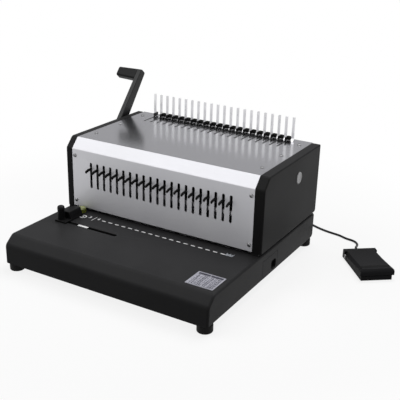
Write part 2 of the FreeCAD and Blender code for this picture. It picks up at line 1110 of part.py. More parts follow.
def spur_gear(teeth, module, centre, x0, x1, bore, first_tooth):
    """Spur gear about an axis along X; first_tooth is the bearing of one tooth in the YZ plane."""
    pressure = math.radians(pressure_angle)
    pitch = module * teeth / 2
    base = pitch * math.cos(pressure)
    low = max(base, pitch - dedendum * module)
    tip = pitch + addendum * module
    half_tooth = math.pi / 2 / teeth - backlash / 2 / pitch
    flank = []
    for share in (0, 0.35, 0.7, 1):
        radius = low + (tip - low) * share
        turn = half_tooth + involute(pressure) - involute(math.acos(base / radius))
        flank.append((radius, turn))
    root = pitch - dedendum * module
    if root < low:
        flank.insert(0, (root, flank[0][1]))
    corners = []
    for i in range(teeth):
        middle = first_tooth + 2 * math.pi * i / teeth
        for radius, turn in flank:
            corners.append((radius, middle - turn))
        for radius, turn in flank[::-1]:
            corners.append((radius, middle + turn))
    outline = [
        (centre[0] + radius * math.cos(a), centre[1] + radius * math.sin(a)) for radius, a in corners
    ]
    return side_plate(outline, x0, x1).cut(rod_x(bore, x0, x1, centre[0], centre[1]))


def camshaft():
    end = web_outer - tongue_end
    shaft = rod_x(cam_shaft_radius, -end, end, cam_axis_y, cam_axis_z)
    gear = spur_gear(
        gear_teeth,
        gear_module,
        (cam_axis_y, cam_axis_z),
        gear_x - gear_width / 2,
        gear_x + gear_width / 2,
        cam_shaft_radius + running_gap,
        pinion_bearing,
    )
    return group([shaft, gear, heart_cam(-cam_x), heart_cam(cam_x)])


def motor_face():
    return gear_x + gear_width / 2 + motor_nose + bracket_sheet


def motor_pinion():
    pinion = spur_gear(
        pinion_teeth,
        gear_module,
        (pinion_y, pinion_z),
        gear_x - gear_width / 2,
        gear_x + gear_width / 2,
        pinion_shaft_radius + running_gap,
        pinion_bearing + math.pi + math.pi / pinion_teeth,
    )
    shaft = rod_x(
        pinion_shaft_radius, gear_x - gear_width / 2, motor_face() + motor_nose, pinion_y, pinion_z
    )
    return group([pinion, shaft])


def gear_motor():
    face = motor_face()
    can = rod_x(motor_radius, face + gearbox_length, face + motor_length, pinion_y, pinion_z)
    can = can.makeFillet(
        gearbox_step,
        [edge for edge in can.Edges if near(edge.CenterOfMass.x, face + motor_length)],
    )
    gearbox = rod_x(
        motor_radius - gearbox_step, face, face + gearbox_length, pinion_y, pinion_z
    )
    nose = rod_x(motor_nose_radius, face - bracket_sheet, face, pinion_y, pinion_z)
    bore = rod_x(
        pinion_shaft_radius + running_gap,
        face - bracket_sheet,
        face + gearbox_length / 2,
        pinion_y,
        pinion_z,
    )
    motor = gearbox.fuse([can, nose]).cut(bore)
    plate = box(
        face - bracket_sheet, face, bracket_front, bracket_rear, pan_top, pinion_z + bracket_above
    )
    foot = box(
        face,
        face + bracket_foot,
        bracket_front,
        bracket_rear,
        pan_top,
        pan_top + bracket_sheet,
    )
    hole = rod_x(
        motor_nose_radius + running_gap, face - bracket_sheet, face, pinion_y, pinion_z
    )
    return group([motor, plate.fuse(foot).cut(hole)])


def bush(radius, y, z):
    """Flanged bush in the right-hand frame plate."""
    sleeve = rod_x(radius + bush_wall, web_inner, web_outer, y, z)
    flange = rod_x(
        radius + bush_wall + bush_flange, web_inner - bush_flange, web_inner, y, z
    )
    bore = rod_x(radius + running_gap, web_inner - bush_flange, web_outer, y, z)
    return sleeve.fuse(flange).cut(bore)


def shaft_bushes():
    return group(
        both_sides(bush(cam_shaft_radius, cam_axis_y, cam_axis_z))
        + both_sides(bush(lever_shaft_radius, lever_axis_y, lever_axis_z))
    )


# ---------------------------------------------------------------- lever and carriage


def lever_inner():
    return -left_outer - lever_gap


def lever_outer():
    return lever_inner() - lever_thickness


def on_lever(x, along, across):
    """Point along the lever from its pivot and across it, with its rear side positive."""
    lean = math.radians(lever_lean)
    return Vector(
        x,
        lever_axis_y + along * math.sin(lean) + across * math.cos(lean),
        lever_axis_z + along * math.cos(lean) - across * math.sin(lean),
    )


def grip_pin(radius, x0, x1):
    middle = on_lever(0, lever_reach - grip_height / 2, (grip_rear - lever_front) / 2)
    return rod_x(radius, x0, x1, middle.y, middle.z)


def lever_shaft():
    shaft = rod_x(
        lever_shaft_radius, lever_outer(), web_outer - tongue_end, lever_axis_y, lever_axis_z
    )
    pieces = [shaft]
    for x in (-rack_x, rack_x):
        pieces.append(
            spur_gear(
                rack_pinion_teeth,
                rack_module,
                (lever_axis_y, lever_axis_z),
                x - rack_width / 2,
                x + rack_width / 2,
                lever_shaft_radius + running_gap,
                math.pi / 2,
            )
        )
    return group(pieces)


def lever_arm():
    inner = lever_inner()
    outer = lever_outer()
    outline = [
        (lever_reach, -lever_front),
        (lever_reach, lever_rear_top),
        (0, lever_boss_radius),
        (0, -lever_front),
    ]
    corners = [on_lever(inner, along, across) for along, across in outline]
    arm = Part.Face(Part.makePolygon(corners + corners[:1])).extrude(Vector(outer - inner, 0, 0))
    boss = rod_x(lever_boss_radius, outer, inner, lever_axis_y, lever_axis_z)
    tops = corners[:2]

    def top_corner(middle, way):
        return any(near(middle.y, top.y) and near(middle.z, top.z) for top in tops)

    body = rounded(arm.fuse(boss).removeSplitter(), grip_round, top_corner)
    body = rounded(body, lever_edge, lambda middle, way: near(middle.x, inner))
    body = rounded(body, lever_seam_edge, lambda middle, way: near(middle.x, outer))
    pin = grip_pin(grip_pin_radius, outer - grip_bore_depth, outer + lever_edge)
    bore = rod_x(lever_shaft_radius + running_gap, outer, inner, lever_axis_y, lever_axis_z)
    return body.fuse(pin).cut(bore)


def lever_grip():
    start = lever_outer() - slide_gap
    end = start - grip_length
    low = lever_reach - grip_height
    corners = [
        on_lever(start, lever_reach, -lever_front),
        on_lever(end, lever_reach - grip_drop, -lever_front),
        on_lever(end, low + grip_rise, -lever_front),
        on_lever(start, low, -lever_front),
    ]
    depth = on_lever(start, 0, grip_rear).sub(on_lever(start, 0, -lever_front))
    grip = Part.Face(Part.makePolygon(corners + corners[:1])).extrude(depth)
    grip = rounded(grip, grip_round, lambda middle, way: not near(middle.x, start))
    bore = grip_pin(
        grip_pin_radius + running_gap, lever_outer() - grip_bore_depth - slide_gap, start
    )
    return grip.cut(bore)


def rack(x):
    """Rack bar with its teeth down, in mesh with the pinion that has a tooth straight up."""
    pitch = math.pi * rack_module
    slope = math.tan(math.radians(pressure_angle))
    tip = rack_line - addendum * rack_module
    root = rack_line + dedendum * rack_module
    half_tip = pitch / 4 - backlash / 2 - addendum * rack_module * slope
    half_root = pitch / 4 - backlash / 2 + dedendum * rack_module * slope
    front = lever_axis_y - rack_teeth_front * pitch
    rear = lever_axis_y + rack_teeth_rear * pitch
    outline = [(front, root + rack_back), (front, root)]
    for i in range(-rack_teeth_front, rack_teeth_rear):
        y = lever_axis_y + (i + 1 / 2) * pitch
        outline += [
            (y - half_root, root),
            (y - half_tip, tip),
            (y + half_tip, tip),
            (y + half_root, root),
        ]
    outline += [
        (rear, root),
        (rear, carriage_level),
        (rear - riser_length, carriage_level),
        (rear - riser_length, root + rack_back),
    ]
    return side_plate(outline, x - rack_width / 2, x + rack_width / 2)


def hook(place):
    x = place - hook_offset - hook_sheet / 2
    low = carriage_level + carriage_sheet
    stem_rear = hook_front + hook_stem
    outline = [
        (hook_front, low),
        (stem_rear, low),
        (stem_rear, hook_low),
        (hook_back, hook_low),
        (hook_back, hook_high),
        (hook_front, hook_high),
    ]
    return side_plate(outline, x, x + hook_sheet)


def hook_carriage():
    """Plate with the hooks on top, and a rack bar under each of its two shelves."""
    plate = box(
        -web_inner + fit_gap,
        web_inner - fit_gap,
        carriage_front,
        carriage_rear,
        carriage_level,
        carriage_level + carriage_sheet,
    )
    tongues = both_sides(
        box(
            web_inner - fit_gap,
            web_outer - tongue_end,
            carriage_tongue_front,
            carriage_tongue_rear,
            carriage_level,
            carriage_level + carriage_sheet,
        )
    )
    reach = lever_axis_y + rack_teeth_rear * math.pi * rack_module - riser_length
    shelves = [
        box(
            x - rack_width / 2,
            x + rack_width / 2,
            reach,
            carriage_front,
            carriage_level,
            carriage_level + carriage_sheet,
        )
        for x in (-rack_x, rack_x)
    ]
    pieces = tongues + shelves + [hook(x) for x in slot_places()]
    carriage = plate.fuse(pieces).removeSplitter()
    return group([carriage, rack(-rack_x), rack(rack_x)])


def hook_rollers():
    """Round black heads on every hook but the first."""
    rollers = []
    for place in slot_places()[1:]:
        x = place - hook_offset + hook_sheet / 2
        roller = rod_x(roller_radius, x, x + roller_width, roller_y, roller_z)
        rollers.append(roller.makeFillet(roller_radius / 4, roller.Edges[:1] + roller.Edges[2:]))
    return group(rollers)


def comb_fingers():
    front = finger_y - finger_sheet / 2
    rear = finger_y + finger_sheet / 2
    half_row = finger_places()[-1] + comb_pitch / 2
    strip_bottom = top_inner - finger_strip
    strip = box(-half_row, half_row, front, rear, strip_bottom, top_inner)
    flange = box(-half_row, half_row, rear, rear + finger_flange, top_inner - finger_sheet, top_inner)
    pieces = [flange]
    for x in finger_places():
        x0 = x - finger_width / 2
        tine = box(x0, x0 + finger_width, front, rear, top_inner, finger_top)
        tine = rounded(
            tine,
            finger_round,
            lambda middle, way: near(middle.z, finger_top) and near(abs(way.y), 1),
        )
        toe = Vector(x0, front - finger_foot, top_height)
        heel = Vector(x0, front, top_height)
        shin = Vector(x0, front, top_height + finger_foot)
        turn = finger_foot * (1 - math.sqrt(0.5))
        middle = Vector(x0, front - turn, top_height + turn)
        foot = Part.Wire(
            [
                Part.Arc(toe, middle, shin).toShape(),
                Part.LineSegment(shin, heel).toShape(),
                Part.LineSegment(heel, toe).toShape(),
            ]
        )
        pieces += [tine, Part.Face(foot).extrude(Vector(finger_width, 0, 0))]
    return strip.fuse(pieces).removeSplitter()


# ---------------------------------------------------------------- paper guides


def edge_guide():
    bottom = shelf_height + fit_gap
    left = guide_x - guide_plate_left
    fence_right = guide_x + guide_plate_right
    plate = box(
        left,
        fence_right,
        guide_slot_y - guide_plate_front,
        fence_front,
        bottom,
        bottom + guide_plate,
    )
    fence = box(
        fence_right - fence_width,
        fence_right,
        fence_front,
        fence_rear,
        bottom,
        shelf_height + fence_height,
    )
    fence = rounded(
        fence,
        fence_round,
        lambda middle, way: near(middle.z, shelf_height + fence_height) or near(abs(way.z), 1),
    )
    foot = box(
        fence_right - fence_width,
        fence_right,
        fence_front,
        fence_front + 2 * fence_round,
        bottom,
        bottom + guide_plate,
    )
    bolt = rod_z(
        knob_screw_radius + running_gap, bottom, bottom + guide_plate, guide_x, guide_slot_y
    )
    nut_top = shelf_height - base_wall - fit_gap
    pointer_end = guide_x + pointer_left + pointer_length
    nut = box(
        guide_x - nut_width / 2,
        pointer_end,
        guide_slot_y - nut_width / 2,
        guide_slot_y + nut_width / 2,
        nut_top - nut_height,
        nut_top,
    )
    pointer = box(
        guide_x + pointer_left,
        pointer_end,
        guide_slot_y - pointer_width / 2,
        guide_slot_y + pointer_width / 2,
        nut_top,
        shelf_height + pointer_proud,
    )
    thread = rod_z(
        knob_screw_radius + running_gap, nut_top - nut_height, nut_top, guide_x, guide_slot_y
    )
    return group([plate.fuse([fence, foot]).cut(bolt), nut.fuse(pointer).cut(thread)])


def edge_guide_knob():
    knob = rod_z(knob_radius, knob_bottom, knob_bottom + knob_height, guide_x, guide_slot_y)
    knob = rounded(
        knob, knob_round, lambda middle, way: near(middle.z, knob_bottom + knob_height)
    )
    low = shelf_height - base_wall - fit_gap - nut_height
    return knob.fuse(rod_z(knob_screw_radius, low, knob_bottom, guide_x, guide_slot_y))


def margin_dial():
    bottom = shelf_height + fit_gap
    dial = rod_z(dial_radius, bottom, bottom + dial_height, dial_x, dial_y)
    dial = rounded(dial, dial_round, lambda middle, way: near(middle.z, bottom + dial_height))
    stem = rod_z(dial_stem_radius, bottom - dial_stem, bottom, dial_x, dial_y)
    nut_top = shelf_height - base_wall - fit_gap
    nut = rod_z(dial_nut_radius, nut_top - dial_nut, nut_top, dial_x, dial_y)
    return dial.fuse([stem, nut])


def depth_stop():
    bottom = shelf_height + (paper_gap - stop_thickness) / 2
    end = web_inner - stop_end_gap
    return box(-end, end, -stop_front, stop_rear, bottom, bottom + stop_thickness)


# ---------------------------------------------------------------- chip drawer


def chip_drawer():
    low = pan_top + drawer_lift
    right = half_base - drawer_face
    tray = box(drawer_left, right, -drawer_front, drawer_rear, low, drawer_top)
    hollow = box(
        drawer_left + drawer_wall,
        right,
        drawer_wall - drawer_front,
        drawer_rear - drawer_wall,
        low + drawer_wall,
        drawer_top,
    )
    face = box(right, half_base, -drawer_front, drawer_rear, low, drawer_top)
    pull = box(
        half_base - pull_depth,
        half_base,
        pull_centre - pull_half,
        pull_centre + pull_half,
        pull_low,
        pull_high,
    )
    pull = rounded(
        pull,
        pull_round,
        lambda middle, way: near(abs(way.x), 1),
    )
    return tray.cut(hollow).fuse(face).cut(pull)


# ---------------------------------------------------------------- electrics


def control_board():
    low = pan_top + board_lift
    right = board_x + board_width
    rear = board_y + board_depth
    top = low + board_sheet
    board = box(board_x, right, board_y, rear, low, top)
    pieces = []
    for x in (board_x + board_inset, right - board_inset):
        for y in (board_y + board_inset, rear - board_inset):
            pieces.append(rod_z(board_post, pan_top, low, x, y))

    def block(size, x, y):
        return box(x, x + size[0], y, y + size[1], top, top + size[2])

    left = board_x + 2 * board_inset
    front = board_y + 2 * board_inset
    pieces.append(block(coil_block, left, front))
    pieces.append(block(relay_block, left + coil_block[0] + board_inset, front))
    pieces.append(
        rod_z(
            capacitor_radius,
            top,
            top + capacitor_height,
            right - 3 * board_inset,
            rear - 3 * board_inset,
        )
    )
    return board.fuse(pieces)


def panel_block(x, z, size, y0, y1):
    return box(x - size[0] / 2, x + size[0] / 2, y0, y1, z - size[1] / 2, z + size[1] / 2)


def rocker_pins(axis_y, gap):
    """The rocker's two pivot pins, or with a gap the bores that they turn in."""
    end = rocker_width / 2
    ends = ((-end - rocker_pin, -end), (end, end + rocker_pin))
    return [
        rod_x(rocker_pin_radius + gap, switch_x + x0, switch_x + x1, axis_y, inlet_z)
        for x0, x1 in ends
    ]


def power_inlet():
    outside = half_depth + flange_sheet
    flange = panel_block(inlet_x, inlet_z, inlet_flange, half_depth, outside)
    body = panel_block(inlet_x, inlet_z, inlet_body, half_depth - inlet_depth, half_depth)
    floor = outside - inlet_cavity_depth
    cavity = panel_block(inlet_x, inlet_z, inlet_cavity, floor, outside)
    pins = [
        rod_y(inlet_pin_radius, floor - flange_sheet, floor + inlet_pin_length, x, inlet_z)
        for x in (inlet_x - inlet_pin_step, inlet_x, inlet_x + inlet_pin_step)
    ]
    inlet = flange.fuse(body).cut(cavity).fuse(pins)
    frame = panel_block(switch_x, inlet_z, switch_flange, half_depth, outside)
    box_body = panel_block(switch_x, inlet_z, switch_body, half_depth - switch_depth, half_depth)
    well = panel_block(switch_x, inlet_z, switch_cavity, outside - switch_cavity_depth, outside)
    bores = rocker_pins(outside - rocker_axis_in, running_gap)
    return group([inlet, frame.fuse(box_body).cut([well] + bores)])


def power_rocker():
    """Rocker that tips about an axis along X; it rests with its lower half pressed in."""
    axis_y = half_depth + flange_sheet - rocker_axis_in
    x0 = switch_x - rocker_width / 2
    outline = [
        (axis_y - rocker_back, inlet_z),
        (axis_y - rocker_axis_in, inlet_z - rocker_half),
        (axis_y + rocker_front, inlet_z - rocker_half),
        (axis_y + rocker_axis_in, inlet_z),
        (axis_y + rocker_front, inlet_z + rocker_half),
        (axis_y - rocker_axis_in, inlet_z + rocker_half),
    ]
    rocker = side_plate(outline, x0, x0 + rocker_width)
    rocker = rocker.fuse(rocker_pins(axis_y, 0))
    rocker.rotate(Vector(switch_x, axis_y, inlet_z), Vector(1, 0, 0), -rocker_tilt)
    return rocker


# ---------------------------------------------------------------- foot switch


def on_pedal(shape):
    """Moves a shape from the foot switch's own frame to where it lies on the floor."""
    placed = shape.copy()
    placed.rotate(Vector(0, 0, 0), Vector(0, 0, 1), pedal_yaw)
    placed.translate(Vector(pedal_x, pedal_y, 0))
    return placed


def block_front():
    return pedal_length / 2 - pedal_block


def pin_place():
    return block_front() - tread_pin_in


def pedal_base():
    half = pedal_width / 2
    front = -pedal_length / 2
    floor = box(-half, half, front, block_front(), 0, pedal_floor)
    tray = box(-half, half, front, block_front(), 0, pedal_wall_height)
    tray = tray.cut(
        box(
            -half + pedal_wall,
            half - pedal_wall,
            front + pedal_wall,
            block_front(),
            pedal_floor,
            pedal_wall_height,
        )
    )
    block = box(-half, half, block_front(), pedal_length / 2, 0, pedal_block_height)
    block = rounded(
        block,
        pedal_block_round,
        lambda middle, way: near(middle.y, pedal_length / 2) and not near(middle.z, 0),
    )
    ears = both_sides(
        box(
            half - ear_width,
            half,
            pin_place() - ear_half,
            pin_place() + ear_half,
            pedal_floor,
            ear_height,
        )
    )
    pin_end = half + tread_gap + tread_sheet - slide_gap
    pins = both_sides(rod_x(tread_pin_radius, half - ear_width, pin_end, pin_place(), tread_pin_height))
    return on_pedal(floor.fuse([tray, block] + ears + pins).removeSplitter())


def tread_form(inset):
    """Wedge of the tread at a distance inside its outer face; the inner one runs out underneath and behind."""
    half = pedal_width / 2 + tread_gap + tread_sheet - inset
    lip = -pedal_length / 2 - tread_overhang + inset
    ridge = lip + tread_ridge
    rear = block_front() - tread_rear_gap + inset
    drop = inset
    outline = [
        (lip, tread_skirt_front - drop),
        (lip, tread_lip_height - drop),
        (ridge, tread_ridge_height - drop),
        (rear, tread_rear_height - drop),
        (rear, tread_skirt_rear - drop),
    ]
    form = side_plate(outline, -half, half)
    slope_z = (tread_ridge_height + tread_rear_height) / 2 - drop
    edges = []
    for edge in form.Edges:
        middle = edge.CenterOfMass
        if near(abs(middle.x), half) and near(middle.z, slope_z):
            edges.append(edge)
    return form.makeChamfer(tread_bevel - inset * (2 - math.sqrt(2)), edges)


def pedal_tread():
    tread = tread_form(0).cut(tread_form(tread_sheet))
    reach = pedal_width / 2 + tread_gap + tread_sheet
    bore = rod_x(tread_pin_radius + running_gap, -reach, reach, pin_place(), tread_pin_height)
    return on_pedal(tread.cut(bore))


def pedal_switch():
    half = micro_width / 2
    top = pedal_floor + micro_height
    body = box(-half, half, micro_y, micro_y + micro_length, pedal_floor, top)
    button = rod_z(
        micro_button_radius, top, top + micro_button, 0, micro_y + micro_length / 4
    )
    return on_pedal(body.fuse(button))


# ---------------------------------------------------------------- cord


def cord_glands():
    def cone_outline(y0, y1, r0, r1):
        return [
            Vector(gland_x, y0, gland_z),
            Vector(gland_x + r0, y0, gland_z),
            Vector(gland_x + r1, y1, gland_z),
            Vector(gland_x, y1, gland_z),
        ]

    axis = Vector(0, 1, 0)
    centre = Vector(gland_x, 0, gland_z)
    tip = half_depth + gland_length
    sleeve = turned(
        cone_outline(half_depth, tip, gland_radius, gland_tip_radius), centre, axis
    )
    neck = rod_y(gland_radius, half_depth - base_wall, half_depth, gland_x, gland_z)
    nut = rod_y(
        gland_nut_radius,
        half_depth - base_wall - gland_nut,
        half_depth - base_wall,
        gland_x,
        gland_z,
    )
    collar = rod_y(gland_nut_radius, half_depth, half_depth + flange_sheet, gland_x, gland_z)
    rear = pedal_length / 2
    small = rod_y(pedal_gland_radius, rear, rear + pedal_gland_length, 0, pedal_gland_z)
    small = rounded(
        small, cord_radius / 2, lambda middle, way: near(middle.y, rear + pedal_gland_length)
    )
    return group([sleeve.fuse([neck, nut, collar]), on_pedal(small)])


def cord_tube(route):
    """Round tube along straight runs joined by tangent arcs through a route of points."""
    points = [Vector(*point) for point in route]
    edges = []
    radii = []
    start = points[0]
    for before, corner, after in zip(points, points[1:], points[2:]):
        back = before.sub(corner)
        onward = after.sub(corner)
        reach = run_share * min(back.Length, onward.Length)
        half_turn = (math.pi - back.getAngle(onward)) / 2
        radii.append(reach / math.tan(half_turn))
        back.normalize()
        onward.normalize()
        inward = (back + onward).normalize()
        entry = corner + back * reach
        leave = corner + onward * reach
        bow = radii[-1] * (1 / math.cos(half_turn) - 1)
        edges.append(Part.LineSegment(start, entry).toShape())
        edges.append(Part.Arc(entry, corner + inward * bow, leave).toShape())
        start = leave
    edges.append(Part.LineSegment(start, points[-1]).toShape())
    path = Part.Wire(edges)
    ring = Part.makeCircle(cord_radius, points[0], points[1].sub(points[0]))
    tube = path.makePipeShell([Part.Wire(ring)], True, False)
    shares = tube.Volume / (math.pi * cord_radius**2 * path.Length)
    print("cord", round(path.Length, 1), "mm, volume share", round(shares, 4))
    print("cord radii", [round(radius, 1) for radius in radii])
    return tube


def pedal_cord():
    return group([cord_tube(cord_to_coil), cord_tube(cord_to_pedal)])


def pedal_cord_coil():
    outer = rod_z(coil_mean_radius + coil_half_band, 0, coil_height, coil_x, coil_y)
    inner = rod_z(coil_mean_radius - coil_half_band, 0, coil_height, coil_x, coil_y)
    ring = outer.cut(inner)
    rims = [edge for edge in ring.Edges if len(edge.Vertexes) == 1]
    return ring.makeFillet(coil_round, rims)


nodes = {
    "base_cover": base_cover,
    "base_pan": base_pan,
    "feet": feet,
    "silver_cover": silver_cover,
    "left_side_cover": left_side_cover,
    "right_side_cover": right_side_cover,
    "cover_plug": cover_plug,
    "rear_panel": rear_panel,
    "case_screws": case_screws,
    "frame_plates": frame_plates,
    "die_plate": die_plate,
    "punch_guide": punch_guide,
    "punches": punches,
    "ram_beam": ram_beam,
    "return_springs": return_springs,
    "camshaft": camshaft,
    "motor_pinion": motor_pinion,
    "gear_motor": gear_motor,
    "shaft_bushes": shaft_bushes,
    "lever_shaft": lever_shaft,
    "lever_arm": lever_arm,
    "lever_grip": lever_grip,
    "hook_carriage": hook_carriage,
    "hook_rollers": hook_rollers,
    "comb_fingers": comb_fingers,
    "edge_guide": edge_guide,
    "edge_guide_knob": edge_guide_knob,
    "margin_dial": margin_dial,
    "depth_stop": depth_stop,
    "chip_drawer": chip_drawer,
    "control_board": control_board,
    "power_inlet": power_inlet,
    "power_rocker": power_rocker,
    "pedal_base": pedal_base,
    "pedal_tread": pedal_tread,
    "pedal_switch": pedal_switch,
    "cord_glands": cord_glands,
    "pedal_cord": pedal_cord,
    "pedal_cord_coil": pedal_cord_coil,
}

os.makedirs("parts", exist_ok=True)
for name, make in nodes.items():
    make().exportStep("parts/" + name + ".step")
for number, place in enumerate(slot_places(), 1):
    pull_tab(place).exportStep("parts/pull_tab_%02d.step" % number)
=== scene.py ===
import bpy
import json
import math
from mathutils import Matrix, Vector

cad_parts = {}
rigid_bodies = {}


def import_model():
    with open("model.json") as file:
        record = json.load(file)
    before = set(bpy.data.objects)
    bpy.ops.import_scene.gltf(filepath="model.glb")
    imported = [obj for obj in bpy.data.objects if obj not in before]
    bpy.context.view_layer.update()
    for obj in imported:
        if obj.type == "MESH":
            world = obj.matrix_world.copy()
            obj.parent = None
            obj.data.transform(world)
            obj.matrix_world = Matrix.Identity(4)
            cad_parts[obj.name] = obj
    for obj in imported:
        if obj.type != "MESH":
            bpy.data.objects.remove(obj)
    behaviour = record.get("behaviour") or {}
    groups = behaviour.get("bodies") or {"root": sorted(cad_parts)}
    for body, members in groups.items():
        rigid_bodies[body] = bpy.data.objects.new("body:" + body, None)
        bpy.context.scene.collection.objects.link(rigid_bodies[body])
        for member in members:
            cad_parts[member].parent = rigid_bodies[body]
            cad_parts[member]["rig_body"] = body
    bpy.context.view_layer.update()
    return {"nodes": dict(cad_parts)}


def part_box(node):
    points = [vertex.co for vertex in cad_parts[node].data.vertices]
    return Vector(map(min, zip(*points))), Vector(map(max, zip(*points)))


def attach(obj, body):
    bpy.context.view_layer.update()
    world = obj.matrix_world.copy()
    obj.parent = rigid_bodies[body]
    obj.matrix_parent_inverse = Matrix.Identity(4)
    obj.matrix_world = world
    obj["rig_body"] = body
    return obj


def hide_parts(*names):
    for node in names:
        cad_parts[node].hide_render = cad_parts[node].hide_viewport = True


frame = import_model()
mm = 0.001
combPitch = 14.2875 * mm  # 9/16 inch, the pitch of the punched slots and the comb's teeth
slotCount = 21
slotPlaces = [(i - (slotCount - 1) / 2) * combPitch for i in range(slotCount)]
print("frame loaded with", len(frame["nodes"]), "nodes")


def clearSelection():
    if bpy.context.mode != "OBJECT":
        bpy.ops.object.mode_set(mode="OBJECT")
    bpy.ops.object.select_all(action="DESELECT")


def makeActive(piece):
    clearSelection()
    piece.select_set(True)
    bpy.context.view_layer.objects.active = piece


def pick(kind, test):
    # leaves the active piece in edit mode with what passes the test selected
    piece = bpy.context.active_object
    bpy.ops.object.mode_set(mode="OBJECT")
    mesh = piece.data
    mesh.vertices.foreach_set("select", [False] * len(mesh.vertices))
    mesh.edges.foreach_set("select", [False] * len(mesh.edges))
    mesh.polygons.foreach_set("select", [False] * len(mesh.polygons))
    corners = [vertex.co for vertex in mesh.vertices]
    if kind == "faces":
        bpy.context.tool_settings.mesh_select_mode = (False, False, True)
        for face in mesh.polygons:
            face.select = test(face.center, face.normal)
    if kind == "edges":
        bpy.context.tool_settings.mesh_select_mode = (False, True, False)
        for edge in mesh.edges:
            a, b = (corners[i] for i in edge.vertices)
            edge.select = test((a + b) / 2, b - a)
    if kind == "points":
        bpy.context.tool_settings.mesh_select_mode = (True, False, False)
        for vertex in mesh.vertices:
            vertex.select = test(vertex.co, vertex.normal)
    bpy.ops.object.mode_set(mode="EDIT")


def addBlock(low, high):
    # a cube between two corners, its place kept in its mesh
    clearSelection()
    low, high = Vector(low), Vector(high)
    bpy.ops.mesh.primitive_cube_add(size=1, location=(low + high) / 2)
    bpy.context.active_object.scale = high - low
    bpy.ops.object.transform_apply(location=True, rotation=True, scale=True)
    return bpy.context.active_object


def addTurned(profile, vertices=32):
    # a disc at the origin, pulled up step by step through (radius, height)
    clearSelection()
    radius, height = profile[0]
    bpy.ops.mesh.primitive_circle_add(
        radius=radius, vertices=vertices, fill_type="NGON", location=(0, 0, height)
    )
    bpy.ops.object.transform_apply(location=True, rotation=True, scale=True)
    bpy.ops.object.mode_set(mode="EDIT")
    bpy.ops.mesh.select_all(action="SELECT")
    for nextRadius, nextHeight in profile[1:]:
        bpy.ops.mesh.extrude_region_move(
            TRANSFORM_OT_translate={"value": (0, 0, nextHeight - height)}
        )
        share = nextRadius / radius
        bpy.ops.transform.resize(value=(share, share, 1), center_override=(0, 0, nextHeight))
        radius, height = nextRadius, nextHeight
    bpy.ops.mesh.select_all(action="SELECT")
    bpy.ops.mesh.normals_make_consistent(inside=False)
    bpy.ops.object.mode_set(mode="OBJECT")
    return bpy.context.active_object


def addRing(outer, inner, thickness, place, vertices=40):
    # a flat ring standing on its place
    clearSelection()
    bpy.ops.mesh.primitive_circle_add(
        radius=outer, vertices=vertices, fill_type="NGON", location=place
    )
    bpy.ops.object.transform_apply(location=True, rotation=True, scale=True)
    bpy.ops.object.mode_set(mode="EDIT")
    bpy.ops.mesh.select_all(action="SELECT")
    bpy.ops.mesh.inset(thickness=outer - inner)
    bpy.ops.mesh.delete(type="FACE")
    bpy.ops.mesh.select_all(action="SELECT")
    bpy.ops.mesh.extrude_region_move(TRANSFORM_OT_translate={"value": (0, 0, thickness)})
    bpy.ops.mesh.select_all(action="SELECT")
    bpy.ops.mesh.normals_make_consistent(inside=False)
    bpy.ops.object.mode_set(mode="OBJECT")
    return bpy.context.active_object


def addMark(low, high, corner=0.0):
    # a thin printed mark with rounded corners
    mark = addBlock(low, high)
    if corner:
        pick("edges", lambda middle, way: abs(way.normalized().z) > 0.9)
        bpy.ops.mesh.bevel(offset=corner, segments=3, affect="EDGES")
        bpy.ops.object.mode_set(mode="OBJECT")
    return mark


def addWords(words, size, place, bold, proud=0.05 * mm):
    # flat characters as a thin mesh
    clearSelection()
    bpy.ops.object.text_add(location=place)
    text = bpy.context.active_object
    text.data.body = words
    text.data.size = size
    text.data.align_x = "CENTER"
    text.data.align_y = "CENTER"
    text.data.extrude = proud
    text.data.offset = bold
    text.data.resolution_u = 2
    bpy.ops.object.convert(target="MESH")
    bpy.ops.object.transform_apply(location=True, rotation=True, scale=True)
    return bpy.context.active_object


def setPiece(piece, matrix):
    # puts a piece made at the origin in its place
    piece.data.transform(matrix)
    return piece


def facing(place, way):
    # the matrix that carries +Z to a way, at a place
    turn = Vector(way).to_track_quat("Z", "Y").to_matrix().to_4x4()
    return Matrix.Translation(place) @ turn


def bevelModifier(width, segments=2, angle=30):
    bevel = bpy.context.active_object.modifiers.new("bevel", "BEVEL")
    bevel.width = width
    bevel.segments = segments
    bevel.limit_method = "ANGLE"
    bevel.angle_limit = math.radians(angle)
    bevel.use_clamp_overlap = False
    bpy.ops.object.modifier_apply(modifier=bevel.name)


def cutWith(cutter):
    # takes the cutter's volume away from the active piece
    piece = bpy.context.active_object
    cut = piece.modifiers.new("cut", "BOOLEAN")
    cut.object = cutter
    cut.solver = "EXACT"
    bpy.ops.object.modifier_apply(modifier=cut.name)
    bpy.data.objects.remove(cutter)


def joinPieces(pieces):
    clearSelection()
    for piece in pieces:
        piece.select_set(True)
    bpy.context.view_layer.objects.active = pieces[0]
    bpy.ops.object.join()
    return bpy.context.active_object


def copyPiece(piece, matrix):
    double = piece.copy()
    double.data = piece.data.copy()
    double.data.transform(matrix)
    bpy.context.scene.collection.objects.link(double)
    return double


def smoothShade(piece, angle):
    makeActive(piece)
    bpy.ops.object.shade_smooth_by_angle(angle=math.radians(angle))
    weighted = piece.modifiers.new("weighted", "WEIGHTED_NORMAL")
    weighted.keep_sharp = True
    weighted.weight = 80
    bpy.ops.object.modifier_apply(modifier=weighted.name)


def finishPiece(piece, name, finish, node, stands=True, body=None, angle=40):
    # its body is a node's, and it stands for that node unless told not to
    makeActive(piece)
    bpy.ops.object.transform_apply(location=True, rotation=True, scale=True)
    piece.name = name
    piece.data.name = name
    smoothShade(piece, angle)
    piece.data.materials.clear()
    piece.data.materials.append(materials[finish])
    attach(piece, body or bodyOf(node))
    if stands:
        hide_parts(node)
    return piece


def bodyOf(nodeName):
    return frame["nodes"][nodeName]["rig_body"]


